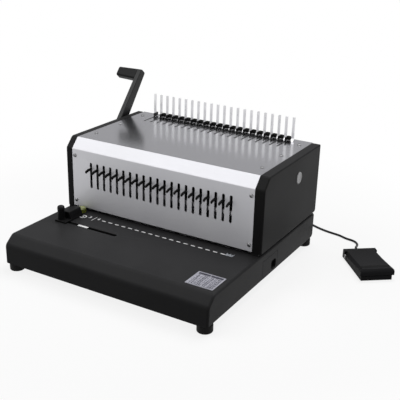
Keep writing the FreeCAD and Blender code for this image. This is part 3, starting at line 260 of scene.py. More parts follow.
def dressNode(nodeName, finish, bevel=0.0, segments=2):
    # a merged copy of a node's own mesh, with its sharp edges eased, that stands for the node
    source = frame["nodes"][nodeName]
    piece = source.copy()
    piece.data = source.data.copy()
    piece.parent = None
    for key in list(piece.keys()):
        del piece[key]
    bpy.context.scene.collection.objects.link(piece)
    makeActive(piece)
    bpy.ops.object.mode_set(mode="EDIT")
    bpy.ops.mesh.select_all(action="SELECT")
    bpy.ops.mesh.remove_doubles(threshold=0.002 * mm)
    bpy.ops.mesh.dissolve_limited(angle_limit=math.radians(0.3))
    bpy.ops.object.mode_set(mode="OBJECT")
    if bevel:
        bevelModifier(bevel, segments, 35)
    name = "".join(word.capitalize() for word in nodeName.split("_"))
    name = name[0].lower() + name[1:]
    return finishPiece(piece, name, finish, nodeName)


def makeMaterial(name, finish):
    # one node tree for all finishes: a slow drift of tone and gloss, and a fine relief
    material = bpy.data.materials.new(name)
    material.use_nodes = True
    nodes = material.node_tree.nodes
    links = material.node_tree.links
    shader = nodes["Principled BSDF"]
    shader.inputs["Metallic"].default_value = finish.get("metallic", 0.0)
    shader.inputs["IOR"].default_value = finish.get("ior", 1.5)
    shader.inputs["Specular IOR Level"].default_value = finish.get("specular", 0.5)
    shader.inputs["Coat Weight"].default_value = finish.get("coat", 0.0)
    shader.inputs["Coat Roughness"].default_value = finish.get("coatRoughness", 0.1)
    place = nodes.new("ShaderNodeTexCoord")
    drift = nodes.new("ShaderNodeTexNoise")
    drift.inputs["Scale"].default_value = finish.get("driftScale", 18)
    drift.inputs["Detail"].default_value = 4
    links.new(place.outputs["Object"], drift.inputs["Vector"])
    tones = nodes.new("ShaderNodeValToRGB")
    tones.color_ramp.elements[0].position = 0.3
    tones.color_ramp.elements[1].position = 0.7
    low, high = finish["tones"]
    tones.color_ramp.elements[0].color = (*low, 1)
    tones.color_ramp.elements[1].color = (*high, 1)
    links.new(drift.outputs["Fac"], tones.inputs["Fac"])
    stretch = nodes.new("ShaderNodeMapping")
    stretch.inputs["Scale"].default_value = finish.get("stretch", (1, 1, 1))
    links.new(place.outputs["Object"], stretch.inputs["Vector"])
    grain = nodes.new("ShaderNodeTexNoise")
    grain.inputs["Scale"].default_value = finish.get("grainScale", 1500)
    grain.inputs["Detail"].default_value = finish.get("grainDetail", 3)
    links.new(stretch.outputs["Vector"], grain.inputs["Vector"])
    speckle = nodes.new("ShaderNodeMix")  # painted shade: the grain's colour is darkened a little in the relief's own hollows
    speckle.data_type = "RGBA"
    speckle.blend_type = "MULTIPLY"
    speckle.inputs["Factor"].default_value = finish.get("speckle", 0.12)
    links.new(tones.outputs["Color"], speckle.inputs["A"])
    links.new(grain.outputs["Fac"], speckle.inputs["B"])
    links.new(speckle.outputs["Result"], shader.inputs["Base Color"])
    blend = nodes.new("ShaderNodeMath")
    blend.operation = "ADD"
    links.new(drift.outputs["Fac"], blend.inputs[0])
    links.new(grain.outputs["Fac"], blend.inputs[1])
    gloss = nodes.new("ShaderNodeMapRange")
    gloss.inputs["From Min"].default_value = 0.7
    gloss.inputs["From Max"].default_value = 1.3
    gloss.inputs["To Min"].default_value = finish["roughness"][0]
    gloss.inputs["To Max"].default_value = finish["roughness"][1]
    links.new(blend.outputs["Value"], gloss.inputs["Value"])
    if "grazingGloss" in finish:  # a satin sheet mirrors more sharply along its length
        edge = nodes.new("ShaderNodeLayerWeight")
        edge.inputs["Blend"].default_value = 0.5
        sharpen = nodes.new("ShaderNodeMapRange")
        sharpen.inputs["From Min"].default_value = 0.25
        sharpen.inputs["From Max"].default_value = 0.62
        sharpen.inputs["To Min"].default_value = 1.0
        sharpen.inputs["To Max"].default_value = finish["grazingGloss"]
        links.new(edge.outputs["Facing"], sharpen.inputs["Value"])
        share = nodes.new("ShaderNodeMath")
        share.operation = "MULTIPLY"
        links.new(gloss.outputs["Result"], share.inputs[0])
        links.new(sharpen.outputs["Result"], share.inputs[1])
        links.new(share.outputs["Value"], shader.inputs["Roughness"])
    else:
        links.new(gloss.outputs["Result"], shader.inputs["Roughness"])
    relief = nodes.new("ShaderNodeBump")
    relief.inputs["Strength"].default_value = finish.get("relief", 0.1)
    relief.inputs["Distance"].default_value = finish.get("reliefDepth", 0.05) * mm
    links.new(grain.outputs["Fac"], relief.inputs["Height"])
    links.new(relief.outputs["Normal"], shader.inputs["Normal"])
    return material


finishes = {
    "blackShell": {
        "tones": ((0.028, 0.028, 0.029), (0.033, 0.033, 0.034)),
        "roughness": (0.36, 0.46),
        "grainScale": 1100,
        "relief": 0.35,
        "reliefDepth": 0.06,
        "specular": 0.045,
    },
    "sideShell": {
        "tones": ((0.018, 0.018, 0.0185), (0.022, 0.022, 0.0225)),
        "roughness": (0.36, 0.48),
        "grainScale": 1300,
        "relief": 0.3,
        "reliefDepth": 0.05,
        "specular": 0.04,
        "driftScale": 10,
    },
    "silverSheet": {
        "tones": ((0.55, 0.55, 0.575), (0.575, 0.575, 0.595)),
        "roughness": (0.6, 0.68),
        "metallic": 1.0,
        "grainScale": 900,
        "stretch": (0.08, 1, 1),
        "relief": 0.03,
        "reliefDepth": 0.02,
        "driftScale": 9,
        "speckle": 0.04,
        "grazingGloss": 0.28,
    },
    "zincPlate": {
        "tones": ((0.50, 0.50, 0.51), (0.60, 0.60, 0.61)),
        "roughness": (0.26, 0.4),
        "metallic": 1.0,
        "grainScale": 500,
        "relief": 0.08,
        "driftScale": 60,
        "speckle": 0.1,
    },
    "fingerSteel": {
        "tones": ((0.76, 0.76, 0.77), (0.85, 0.85, 0.86)),
        "roughness": (0.26, 0.38),
        "metallic": 1.0,
        "grainScale": 900,
        "stretch": (1, 1, 0.1),
        "relief": 0.1,
        "driftScale": 60,
    },
    "turnedSteel": {
        "tones": ((0.40, 0.40, 0.41), (0.5, 0.5, 0.51)),
        "roughness": (0.22, 0.36),
        "metallic": 1.0,
        "grainScale": 900,
        "stretch": (0.1, 1, 1),
        "relief": 0.15,
        "driftScale": 45,
    },
    "blackSteel": {
        "tones": ((0.009, 0.009, 0.0095), (0.014, 0.014, 0.0145)),
        "roughness": (0.28, 0.42),
        "grainScale": 1400,
        "relief": 0.25,
        "reliefDepth": 0.04,
        "specular": 0.22,
    },
    "blackPlastic": {
        "tones": ((0.009, 0.009, 0.0095), (0.014, 0.014, 0.0145)),
        "roughness": (0.34, 0.5),
        "grainScale": 1300,
        "relief": 0.3,
        "reliefDepth": 0.05,
        "specular": 0.1,
    },
    "tabPlastic": {
        "tones": ((0.005, 0.005, 0.005), (0.008, 0.008, 0.008)),
        "roughness": (0.4, 0.55),
        "grainScale": 1300,
        "relief": 0.2,
        "specular": 0.06,
        "driftScale": 120,
    },
    "pedalPlastic": {
        "tones": ((0.007, 0.007, 0.0075), (0.01, 0.01, 0.011)),
        "roughness": (0.44, 0.58),
        "grainScale": 700,
        "relief": 0.4,
        "reliefDepth": 0.08,
        "specular": 0.07,
    },
    "blackRubber": {
        "tones": ((0.008, 0.008, 0.008), (0.012, 0.012, 0.012)),
        "roughness": (0.5, 0.68),
        "grainScale": 900,
        "relief": 0.3,
        "specular": 0.12,
    },
    "cordSheath": {
        "tones": ((0.009, 0.009, 0.010), (0.014, 0.014, 0.015)),
        "roughness": (0.36, 0.5),
        "grainScale": 1600,
        "relief": 0.2,
        "reliefDepth": 0.03,
        "specular": 0.25,
    },
    "greyPlastic": {
        "tones": ((0.36, 0.355, 0.36), (0.44, 0.435, 0.44)),
        "roughness": (0.3, 0.42),
        "grainScale": 900,
        "relief": 0.15,
        "driftScale": 60,
    },
    "plugPlastic": {
        "tones": ((0.52, 0.52, 0.53), (0.6, 0.6, 0.61)),
        "roughness": (0.34, 0.46),
        "grainScale": 900,
        "relief": 0.12,
        "speckle": 0.05,
        "driftScale": 60,
    },
    "bronze": {
        "tones": ((0.5, 0.33, 0.14), (0.62, 0.42, 0.2)),
        "roughness": (0.25, 0.4),
        "metallic": 1.0,
        "relief": 0.1,
    },
    "boardGreen": {
        "tones": ((0.02, 0.12, 0.05), (0.03, 0.16, 0.07)),
        "roughness": (0.25, 0.4),
        "coat": 0.4,
        "relief": 0.1,
    },
    "olivePlastic": {
        "tones": ((0.23, 0.27, 0.02), (0.32, 0.36, 0.05)),
        "roughness": (0.16, 0.26),
        "grainScale": 700,
        "relief": 0.1,
        "coat": 0.5,
        "driftScale": 90,
    },
    "printWhite": {
        "tones": ((0.9, 0.9, 0.9), (0.96, 0.96, 0.96)),
        "speckle": 0.03,
        "roughness": (0.45, 0.6),
        "grainScale": 2500,
        "relief": 0.15,
        "driftScale": 300,
    },
    "printBlue": {
        "tones": ((0.62, 0.66, 0.72), (0.72, 0.76, 0.82)),
        "speckle": 0.05,
        "roughness": (0.45, 0.6),
        "grainScale": 2500,
        "relief": 0.1,
        "driftScale": 300,
    },
    "labelGrey": {
        "tones": ((0.4, 0.4, 0.46), (0.48, 0.48, 0.54)),
        "roughness": (0.4, 0.55),
        "grainScale": 2000,
        "relief": 0.1,
        "driftScale": 200,
        "specular": 0.3,
    },
    "labelInk": {
        "tones": ((0.03, 0.03, 0.045), (0.05, 0.05, 0.07)),
        "roughness": (0.4, 0.55),
        "grainScale": 2000,
        "relief": 0.1,
        "driftScale": 200,
        "specular": 0.2,
    },
    "plateAluminium": {
        "tones": ((0.5, 0.5, 0.51), (0.6, 0.6, 0.61)),
        "roughness": (0.26, 0.36),
        "metallic": 1.0,
        "grainScale": 1200,
        "stretch": (0.05, 1, 1),
        "relief": 0.12,
        "driftScale": 40,
    },
    "screwSteel": {
        "tones": ((0.2, 0.2, 0.205), (0.28, 0.28, 0.285)),
        "roughness": (0.24, 0.36),
        "metallic": 1.0,
        "grainScale": 1200,
        "relief": 0.08,
        "driftScale": 120,
    },
}
materials = {name: makeMaterial(name, finish) for name, finish in finishes.items()}
print("finishes made:", len(materials))


camera = {
    "place": (0.66801, -1.03709, 0.59956),
    "azimuth": 30.1,
    "elevation": 21.67,
    "roll": 1.46,
    "lens": 67.92,
}


def setCamera():
    clearSelection()
    bpy.ops.object.camera_add()
    eye = bpy.context.active_object
    turn = Matrix.Rotation(math.radians(camera["azimuth"]), 4, "Z")
    tilt = Matrix.Rotation(math.radians(90 - camera["elevation"]), 4, "X")
    roll = Matrix.Rotation(math.radians(camera["roll"]), 4, "Z")
    eye.matrix_world = Matrix.Translation(camera["place"]) @ turn @ tilt @ roll
    eye.data.lens = camera["lens"]
    eye.data.sensor_width = 36
    eye.data.clip_start = 0.05
    bpy.context.scene.camera = eye


studio = {
    "floorSize": 40.0,
    "floorSeen": 0.95,  # the floor's own shade in the picture
    "floorBounce": 0.2,  # what it throws back on the object
    "floorGlow": 0.82,  # near the object, where its shadow lies
    "glowReach": (0.38, 0.75),
    "worldDiffuse": 0.09,
    "softboxes": {
        # place, aim, width, height, watts
        "overhead": ((0.25, 0.65, 1.95), (0.0, 0.1, 0.1), 1.4, 1.4, 27.0),
        "key": ((-0.75, -0.6, 1.38), (0.0, 0.0, 0.15), 1.1, 1.1, 9.6),
        "right": ((2.0, 0.3, 0.75), (0.1, 0.05, 0.1), 1.0, 0.8, 4.0),
    },
    "backCard": {"place": (-0.9, 1.5, 1.0), "width": 4.2, "height": 2.4, "glow": 0.5},
}


def glowWhenSeen(links, nodes, kinds):
    # 1 for the rays that the picture and its reflections see
    rays = nodes.new("ShaderNodeLightPath")
    last = rays.outputs[kinds[0]]
    for kind in kinds[1:]:
        either = nodes.new("ShaderNodeMath")
        either.operation = "MAXIMUM"
        links.new(last, either.inputs[0])
        links.new(rays.outputs[kind], either.inputs[1])
        last = either.outputs["Value"]
    return last


def makeFloor():
    clearSelection()
    bpy.ops.mesh.primitive_plane_add(size=studio["floorSize"])
    floor = bpy.context.active_object
    floor.name = "studioFloor"
    material = bpy.data.materials.new("floorPaper")
    material.use_nodes = True
    nodes = material.node_tree.nodes
    links = material.node_tree.links
    seen = glowWhenSeen(links, nodes, ("Is Camera Ray", "Is Glossy Ray", "Is Transmission Ray"))
    shader = nodes["Principled BSDF"]
    shade = nodes.new("ShaderNodeMapRange")
    shade.inputs["To Min"].default_value = studio["floorBounce"]
    shade.inputs["To Max"].default_value = studio["floorSeen"]
    links.new(seen, shade.inputs["Value"])
    links.new(shade.outputs["Result"], shader.inputs["Base Color"])
    shader.inputs["Roughness"].default_value = 0.9
    shader.inputs["Specular IOR Level"].default_value = 0.0
    glow = nodes.new("ShaderNodeEmission")
    share = nodes.new("ShaderNodeMath")
    share.operation = "MULTIPLY"
    near, far = studio["glowReach"]
    place = nodes.new("ShaderNodeTexCoord")
    reach = nodes.new("ShaderNodeVectorMath")
    reach.operation = "LENGTH"
    links.new(place.outputs["Object"], reach.inputs[0])
    fade = nodes.new("ShaderNodeMapRange")
    fade.interpolation_type = "SMOOTHSTEP"
    fade.inputs["From Min"].default_value = near
    fade.inputs["From Max"].default_value = far
    fade.inputs["To Min"].default_value = studio["floorGlow"]
    fade.inputs["To Max"].default_value = 1.0
    links.new(reach.outputs["Value"], fade.inputs["Value"])
    links.new(fade.outputs["Result"], share.inputs[1])
    links.new(seen, share.inputs[0])
    mix = nodes.new("ShaderNodeMixShader")
    links.new(share.outputs["Value"], mix.inputs["Fac"])
    links.new(shader.outputs["BSDF"], mix.inputs[1])
    links.new(glow.outputs["Emission"], mix.inputs[2])
    links.new(mix.outputs["Shader"], nodes["Material Output"].inputs["Surface"])
    floor.data.materials.append(material)


def makeWorld():
    world = bpy.data.worlds.new("studioWorld")
    bpy.context.scene.world = world
    world.use_nodes = True
    nodes = world.node_tree.nodes
    links = world.node_tree.links
    room = nodes["Background"]
    room.inputs["Color"].default_value = (1, 1, 1, 1)
    room.inputs["Strength"].default_value = studio["worldDiffuse"]
    backdrop = nodes.new("ShaderNodeBackground")
    backdrop.inputs["Color"].default_value = (1, 1, 1, 1)
    backdrop.inputs["Strength"].default_value = 1
    seen = glowWhenSeen(links, nodes, ("Is Camera Ray", "Is Glossy Ray", "Is Transmission Ray"))
    mix = nodes.new("ShaderNodeMixShader")
    links.new(seen, mix.inputs["Fac"])
    links.new(room.outputs["Background"], mix.inputs[1])
    links.new(backdrop.outputs["Background"], mix.inputs[2])
    links.new(mix.outputs["Shader"], nodes["World Output"].inputs["Surface"])


def makeBackCard():
    # a grey card far behind, which only reflections see
    card = studio["backCard"]
    clearSelection()
    bpy.ops.mesh.primitive_plane_add(size=1, location=card["place"], rotation=(math.pi / 2, 0, 0))
    sheet = bpy.context.active_object
    sheet.scale = (card["width"], card["height"], 1)
    bpy.ops.object.transform_apply(location=True, rotation=True, scale=True)
    sheet.name = "studioBackCard"
    material = bpy.data.materials.new("backCardPaper")
    material.use_nodes = True
    shader = material.node_tree.nodes["Principled BSDF"]
    glow = card["glow"]
    shader.inputs["Base Color"].default_value = (0, 0, 0, 1)
    shader.inputs["Specular IOR Level"].default_value = 0.0
    shader.inputs["Emission Color"].default_value = (glow, glow, glow * 1.02, 1)
    shader.inputs["Emission Strength"].default_value = 1
    sheet.data.materials.append(material)
    sheet.visible_camera = False
    sheet.visible_diffuse = False
    sheet.visible_transmission = False
    sheet.visible_shadow = False


def makeLights():
    for name, (place, aim, width, height, watts) in studio["softboxes"].items():
        clearSelection()
        bpy.ops.object.light_add(type="AREA", location=place)
        lamp = bpy.context.active_object
        lamp.name = "softbox_" + name
        lamp.rotation_euler = (Vector(place) - Vector(aim)).to_track_quat("Z", "Y").to_euler()
        lamp.data.shape = "RECTANGLE"
        lamp.data.size = width
        lamp.data.size_y = height
        lamp.data.energy = watts
        lamp.visible_camera = False


setCamera()
makeFloor()
makeWorld()
makeBackCard()
makeLights()
bpy.context.scene.view_settings.view_transform = "Standard"
print("camera, floor and lights set")


pedalCord = {
    "radius": 2.2 * mm,
    "toCoil": [(56.5, 213.6, 30.0), (56.5, 225.0, 30.0), (56.4, 237.5, 23.8), (56.3, 249.5, 13.4)],
    "toPedal": [
        (112.5, 293.6, 2.2), (133.0, 289.5, 2.2), (153.5, 281.5, 2.2), (173.5, 271.3, 2.2),
        (191.7, 263.6, 2.2), (212.0, 258.4, 2.2), (233.5, 255.6, 2.2), (249.0, 248.0, 2.2),
        (265.5, 246.4, 2.2), (276.5, 236.5, 2.2), (279.8, 221.5, 3.8), (281.9, 207.6, 7.6),
        (289.35, 198.1, 7.6),
    ],
    "coilCentre": (92.0, 258.0),
    "coilRadii": (32.0, 18.1),  # of the outer and the inner turn's control points
    "coilHeights": (6.7, 2.25),
    "coilTurns": 4.0,  # in each of the two layers
    "pointsPerTurn": 12,
}


def coilPoints():
    # the upper layer winds inwards, and the lower one winds out again
    centreX, centreY = pedalCord["coilCentre"]
    outer, inner = pedalCord["coilRadii"]
    high, low = pedalCord["coilHeights"]
    perTurn = pedalCord["pointsPerTurn"]
    layer = int(pedalCord["coilTurns"] * perTurn)
    points = []
    for step in range(1, layer * 2 + perTurn // 4 + 1):
        angle = math.pi - 2 * math.pi * step / perTurn
        if step <= layer:
            radius = outer + (inner - outer) * step / layer
        else:
            radius = inner + (outer - inner) * (step - layer) / (layer + perTurn // 4)
        drop = min(max((step - layer + perTurn // 4) / (perTurn // 2), 0), 1)
        height = high + (low - high) * drop
        points.append(
            (centreX + radius * math.cos(angle), centreY + radius * math.sin(angle), height)
        )
    return points


def makeCord():
    points = pedalCord["toCoil"] + coilPoints() + pedalCord["toPedal"]
    curve = bpy.data.curves.new("pedalCord", "CURVE")
    curve.dimensions = "3D"
    line = curve.splines.new("NURBS")
    line.points.add(len(points) - 1)
    for point, place in zip(line.points, points):
        point.co = (*(Vector(place) * mm), 1)
    line.order_u = 3
    line.use_endpoint_u = True
    line.resolution_u = 8
    curve.bevel_depth = pedalCord["radius"]
    curve.bevel_resolution = 5
    curve.use_fill_caps = True
    cord = bpy.data.objects.new("pedalCord", curve)
    bpy.context.scene.collection.objects.link(cord)
    curve.materials.append(materials["cordSheath"])
    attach(cord, "machine")
    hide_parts("pedal_cord", "pedal_cord_coil")


makeCord()
print("cord laid")


dressing = {
    # node: (finish, eased edge in mm)
    "base_cover": ("blackShell", 0.15),
    "left_side_cover": ("sideShell", 0.3),
    "right_side_cover": ("sideShell", 0.3),
    "silver_cover": ("silverSheet", 0.15),
    "rear_panel": ("blackSteel", 0.1),
    "base_pan": ("zincPlate", 0.3),
    "feet": ("blackRubber", 0.4),
    "frame_plates": ("zincPlate", 0.0),
    "die_plate": ("turnedSteel", 0.3),
    "punch_guide": ("turnedSteel", 0.3),
    "punches": ("turnedSteel", 0.0),
    "ram_beam": ("blackSteel", 0.4),
    "return_springs": ("turnedSteel", 0.0),
    "camshaft": ("turnedSteel", 0.0),
    "motor_pinion": ("turnedSteel", 0.0),
    "gear_motor": ("blackSteel", 0.3),
    "shaft_bushes": ("bronze", 0.0),
    "control_board": ("boardGreen", 0.0),
    "lever_shaft": ("turnedSteel", 0.0),
    "lever_arm": ("blackSteel", 0.0),
    "lever_grip": ("blackPlastic", 0.0),
    "hook_carriage": ("blackSteel", 0.15),
    "hook_rollers": ("tabPlastic", 0.6),
    "comb_fingers": ("fingerSteel", 0.15),
    "edge_guide": ("blackPlastic", 0.15),
    "depth_stop": ("zincPlate", 0.3),
    "chip_drawer": ("blackShell", 0.4),
    "power_inlet": ("blackPlastic", 0.3),
    "power_rocker": ("blackPlastic", 0.3),
    "pedal_base": ("pedalPlastic", 0.3),
    "pedal_tread": ("pedalPlastic", 0.3),
    "pedal_switch": ("greyPlastic", 0.3),
}
dressed = {
    nodeName: dressNode(nodeName, finish, eased * mm)
    for nodeName, (finish, eased) in dressing.items()
}
fitting = {
    "fence": {"above": 66.5, "right": -153.0, "inwards": 5.0, "top": 75.0, "drop": 5.0},
    "guideSlot": {
        "left": -176.0, "right": -45.0, "middle": -91.5, "half": 2.8, "near": 0.3, "wider": 2.0,
        "end": -53.0, "longer": 4.5,
    },
    "tabSlots": {"front": -28.0, "low": 88.0, "high": 165.0, "reach": 4.0, "share": 1.35},
}


def fitCopies():
    # fits the guide's fence and slot, and the slots of the tabs, on the dressed copies
    fence, slot, tabSlots = fitting["fence"], fitting["guideSlot"], fitting["tabSlots"]
    for vertex in dressed["edge_guide"].data.vertices:
        place = vertex.co
        if place.z > fence["above"] * mm and place.x > fence["right"] * mm:
            place.x -= fence["inwards"] * mm
        if place.z > fence["top"] * mm:
            place.z -= fence["drop"] * mm
    middle, half = slot["middle"] * mm, slot["half"] * mm
    for vertex in dressed["base_cover"].data.vertices:
        place = vertex.co
        along = slot["left"] * mm < place.x < slot["right"] * mm
        if along and abs(place.y - middle) < half + slot["near"] * mm:
            if place.y > middle:
                place.y += slot["wider"] * mm * (place.y - middle) / half
            if place.x > slot["end"] * mm:
                place.x += slot["longer"] * mm
    for vertex in dressed["silver_cover"].data.vertices:
        place = vertex.co
        near = min(slotPlaces, key=lambda x: abs(x - place.x))
        upright = tabSlots["low"] * mm < place.z < tabSlots["high"] * mm
        reached = abs(place.x - near) < tabSlots["reach"] * mm
        if place.y < tabSlots["front"] * mm and upright and reached:
            place.x = near + (place.x - near) * tabSlots["share"]


fitCopies()
print("casing and mechanism dressed")

pullTab = {"eased": 0.7, "segments": 3}
for i in range(slotCount):
    dressNode(
        "pull_tab_%02d" % (i + 1), "tabPlastic", pullTab["eased"] * mm, pullTab["segments"]
    )
print("pull tabs dressed")

screws = {
    "head": ((3.4, 0.0), (3.4, 0.7), (3.1, 1.35), (2.4, 1.85), (1.4, 2.12), (0.7, 2.2)),
    "shank": ((1.4, -6.0), (2.0, -5.4), (2.0, 0.0)),
    "slot": (3.6, 0.75, 1.1),  # length, width and depth of each arm of the cross
    "front": (179.0, (79.9, 165.7)),
    "top": (170.0, (21.5, 96.0, 171.0)),
    "rear": (174.0, (80.0, 180.0)),
    "feet": (187.5, 184.0),
    "turns": (17, 31),  # how far the first cross is turned, and each next one more
}


def makeScrews():
    # one pan head with a cross recess, copied to every hole
    first = addTurned([(r * mm, z * mm) for r, z in screws["shank"] + screws["head"]], 28)
    length, width, depth = (size * mm for size in screws["slot"])
    top = screws["head"][-1][1] * mm
    for across in (False, True):
        makeActive(first)
        half = Vector((width, length, 0)) / 2 if across else Vector((length, width, 0)) / 2
        low = Vector((-half.x, -half.y, top - depth))
        cutter = addBlock(low, (half.x, half.y, top + 1 * mm))
        makeActive(first)
        cutWith(cutter)
    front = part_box("silver_cover")[0][1]
    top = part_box("silver_cover")[1][2]
    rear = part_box("rear_panel")[1][1]
    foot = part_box("case_screws")[0][2] + screws["head"][-1][1] * mm
    places = []
    x, heights = screws["front"]
    places += [((side * x * mm, front, z * mm), (0, -1, 0)) for side in (-1, 1) for z in heights]
    x, rows = screws["top"]
    places += [((side * x * mm, y * mm, top), (0, 0, 1)) for side in (-1, 1) for y in rows]
    x, heights = screws["rear"]
    places += [((side * x * mm, rear, z * mm), (0, 1, 0)) for side in (-1, 1) for z in heights]
    x, y = screws["feet"]
    places += [
        ((a * x * mm, b * y * mm, foot), (0, 0, -1)) for a in (-1, 1) for b in (-1, 1)
    ]
    copies = []
    start, step = screws["turns"]
    for number, (place, way) in enumerate(places):
        spin = Matrix.Rotation(math.radians(start + step * number), 4, "Z")
        copies.append(copyPiece(first, facing(place, way) @ spin))
    bpy.data.objects.remove(first)
    finishPiece(joinPieces(copies), "caseScrews", "screwSteel", "case_screws", angle=30)


makeScrews()
print("screws set")

guideKnob = {
    "centre": (-164.5, -91.5),
    "bottom": 66.0,
    "thread": ((2.0, -0.2), (2.5, 0.4)),  # its heights count from the thread's lower end
    "body": (
        (2.5, 0.0), (5.6, 0.0), (6.2, 0.7), (6.3, 17.0), (6.6, 18.0), (6.6, 21.2), (6.35, 22.8),
        (5.7, 24.1), (4.6, 24.9), (3.6, 25.0), (3.0, 24.6), (1.6, 24.3),
    ),
    "flutes": 12,
    "fluteDepth": 0.05,
    "fluteReach": (1.0, 23.5, 5.0),  # its lower and upper end, and the radius it starts from
    "fluteShare": (0.2, 0.65),
}


def makeGuideKnob():
    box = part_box("edge_guide_knob")
    low = box[0][2] / mm - guideKnob["bottom"]
    start, end = guideKnob["thread"]
    profile = ((start[0], low), (end[0], low + end[1])) + guideKnob["body"]
    knob = addTurned([(r * mm, z * mm) for r, z in profile], 6 * guideKnob["flutes"])
    step = 2 * math.pi / guideKnob["flutes"]

    low, high, least = (size * mm for size in guideKnob["fluteReach"])
    first, last = guideKnob["fluteShare"]

    def inFlute(point, normal):
        turn = (math.atan2(point.y, point.x) % step) / step
        return low < point.z < high and first < turn < last and point.xy.length > least

    makeActive(knob)
    pick("points", inFlute)
    share = 1 - guideKnob["fluteDepth"]
    bpy.ops.transform.resize(value=(share, share, 1), center_override=(0, 0, 0))
    bpy.ops.object.mode_set(mode="OBJECT")
    x, y = guideKnob["centre"]
    setPiece(knob, Matrix.Translation(Vector((x, y, guideKnob["bottom"])) * mm))
    finishPiece(knob, "edgeGuideKnob", "blackPlastic", "edge_guide_knob", angle=35)


makeGuideKnob()
print("guide's knob made")

marginDial = {
    "centre": (-160.5, -40.2),
    "bottom": 62.7,
    "stem": (
        (2.4, -14.0), (3.0, -13.4), (3.0, -5.7), (5.0, -5.6), (5.5, -5.3), (5.5, -3.1), (3.0, -3.0),
    ),
    "body": (
        (3.0, 0.0), (7.9, 0.0), (8.4, 0.5), (8.4, 6.6), (7.9, 7.4), (7.4, 7.6), (7.1, 8.6),
        (6.3, 9.2), (4.0, 9.3), (3.4, 8.9), (1.0, 8.8),
    ),
    "teeth": 36,
    "toothDepth": 0.05,
    "toothReach": (0.3, 7.0, 7.0),  # its lower and upper end, and the radius it starts from
    "toothShare": 0.45,
    "pointer": (1.1, 0.5, 6.2, 0.25),  # width, start, end and height of the mark on its top
}


def makeMarginDial():
    profile = marginDial["stem"] + marginDial["body"]
    dial = addTurned([(r * mm, z * mm) for r, z in profile], 4 * marginDial["teeth"])
    step = 2 * math.pi / marginDial["teeth"]

    low, high, least = (size * mm for size in marginDial["toothReach"])

    def inTooth(point, normal):
        turn = (math.atan2(point.y, point.x) % step) / step
        return low < point.z < high and turn < marginDial["toothShare"] and point.xy.length > least

    makeActive(dial)
    pick("points", inTooth)
    share = 1 - marginDial["toothDepth"]
    bpy.ops.transform.resize(value=(share, share, 1), center_override=(0, 0, 0))
    bpy.ops.object.mode_set(mode="OBJECT")
    width, start, end, height = (size * mm for size in marginDial["pointer"])
    top = marginDial["body"][-3][1] * mm
    place = Matrix.Translation(Vector((*marginDial["centre"], marginDial["bottom"])) * mm)
    mark = addMark(
        (-width / 2, -end, top - height), (width / 2, -start, top + height), width / 3
    )
    setPiece(dial, place)
    setPiece(mark, place)
    finishPiece(dial, "marginDial", "olivePlastic", "margin_dial", angle=35)
    finishPiece(mark, "marginDialMark", "printWhite", "margin_dial", stands=False)


makeMarginDial()
print("margin dial made")

shelfPrint = {
    "shelf": 62.4,
    "sunk": 0.05,
    "proud": 0.1,
    "dashes": (3, 20),  # the slots between which the row of dashes runs
    "dash": (8.0, 2.7, 0.6),  # width, depth and corner
    "dashLine": -52.5,
    "ring": (-144.3, -55.5, 6.6, 4.6),  # x, y, outer and inner radius
    "ringDot": 1.5,
    "tick": (-121.0, 1.2, 9.0, 8.0, 0.2),  # x, width, reach before and behind the line, corner
    "numbers": (("3", -131.0, -51.5), ("4", -113.0, -50.5)),
    "numberSize": 10.5,
    "numberBold": 0.2,
    "scale": (147.5, 161.0, 9),  # its ends and its number of ticks
    "scaleBar": (-1.6, -0.2, 0.3),  # front and rear from the dashes' line, and corner
    "scaleTick": (0.8, -1.0, 5.0, 7.5),  # width, front, and rear of a short and a long one
    "scaleLong": 4,  # each tick of this count is a long one
}


def makeShelfPrint():
    low = (shelfPrint["shelf"] - shelfPrint["sunk"]) * mm
    high = (shelfPrint["shelf"] + shelfPrint["proud"]) * mm
    line = shelfPrint["dashLine"] * mm
    wide, deep, corner = (size * mm for size in shelfPrint["dash"])
    first = addMark((-wide / 2, line - deep / 2, low), (wide / 2, line + deep / 2, high), corner)
    start, end = shelfPrint["dashes"]
    marks = [
        copyPiece(first, Matrix.Translation((slotPlaces[i], 0, 0))) for i in range(start, end + 1)
    ]
    bpy.data.objects.remove(first)
    x, y, outer, inner = (size * mm for size in shelfPrint["ring"])
    marks.append(addRing(outer, inner, high - low, (x, y, low)))
    dot = addTurned([(shelfPrint["ringDot"] * mm, low), (shelfPrint["ringDot"] * mm, high)], 20)
    marks.append(setPiece(dot, Matrix.Translation((x, y, 0))))
    size, bold = shelfPrint["numberSize"] * mm, shelfPrint["numberBold"] * mm
    for words, x, y in shelfPrint["numbers"]:
        marks.append(addWords(words, size, (x * mm, y * mm, (low + high) / 2), bold))
    x, wide, before, behind, corner = (size * mm for size in shelfPrint["tick"])
    marks.append(
        addMark((x - wide / 2, line - before, low), (x + wide / 2, line + behind, high), corner)
    )
    finishPiece(joinPieces(marks), "shelfDashes", "printWhite", "cover_plug", stands=False)
    left, right = (place * mm for place in shelfPrint["scale"][:2])
    front, rear, corner = (size * mm for size in shelfPrint["scaleBar"])
    ticks = [addMark((left, line + front, low), (right, line + rear, high), corner)]
    count = shelfPrint["scale"][2]
    wide, front, short, tall = (size * mm for size in shelfPrint["scaleTick"])
    for i in range(count):
        x = left + wide / 2 + (right - left - wide) * i / (count - 1)
        rear = short if i % shelfPrint["scaleLong"] else tall
        ticks.append(
            addMark((x - wide / 2, line + front, low), (x + wide / 2, line + rear, high))
        )
    finishPiece(joinPieces(ticks), "shelfScale", "printBlue", "cover_plug", stands=False)


makeShelfPrint()
print("shelf printed")

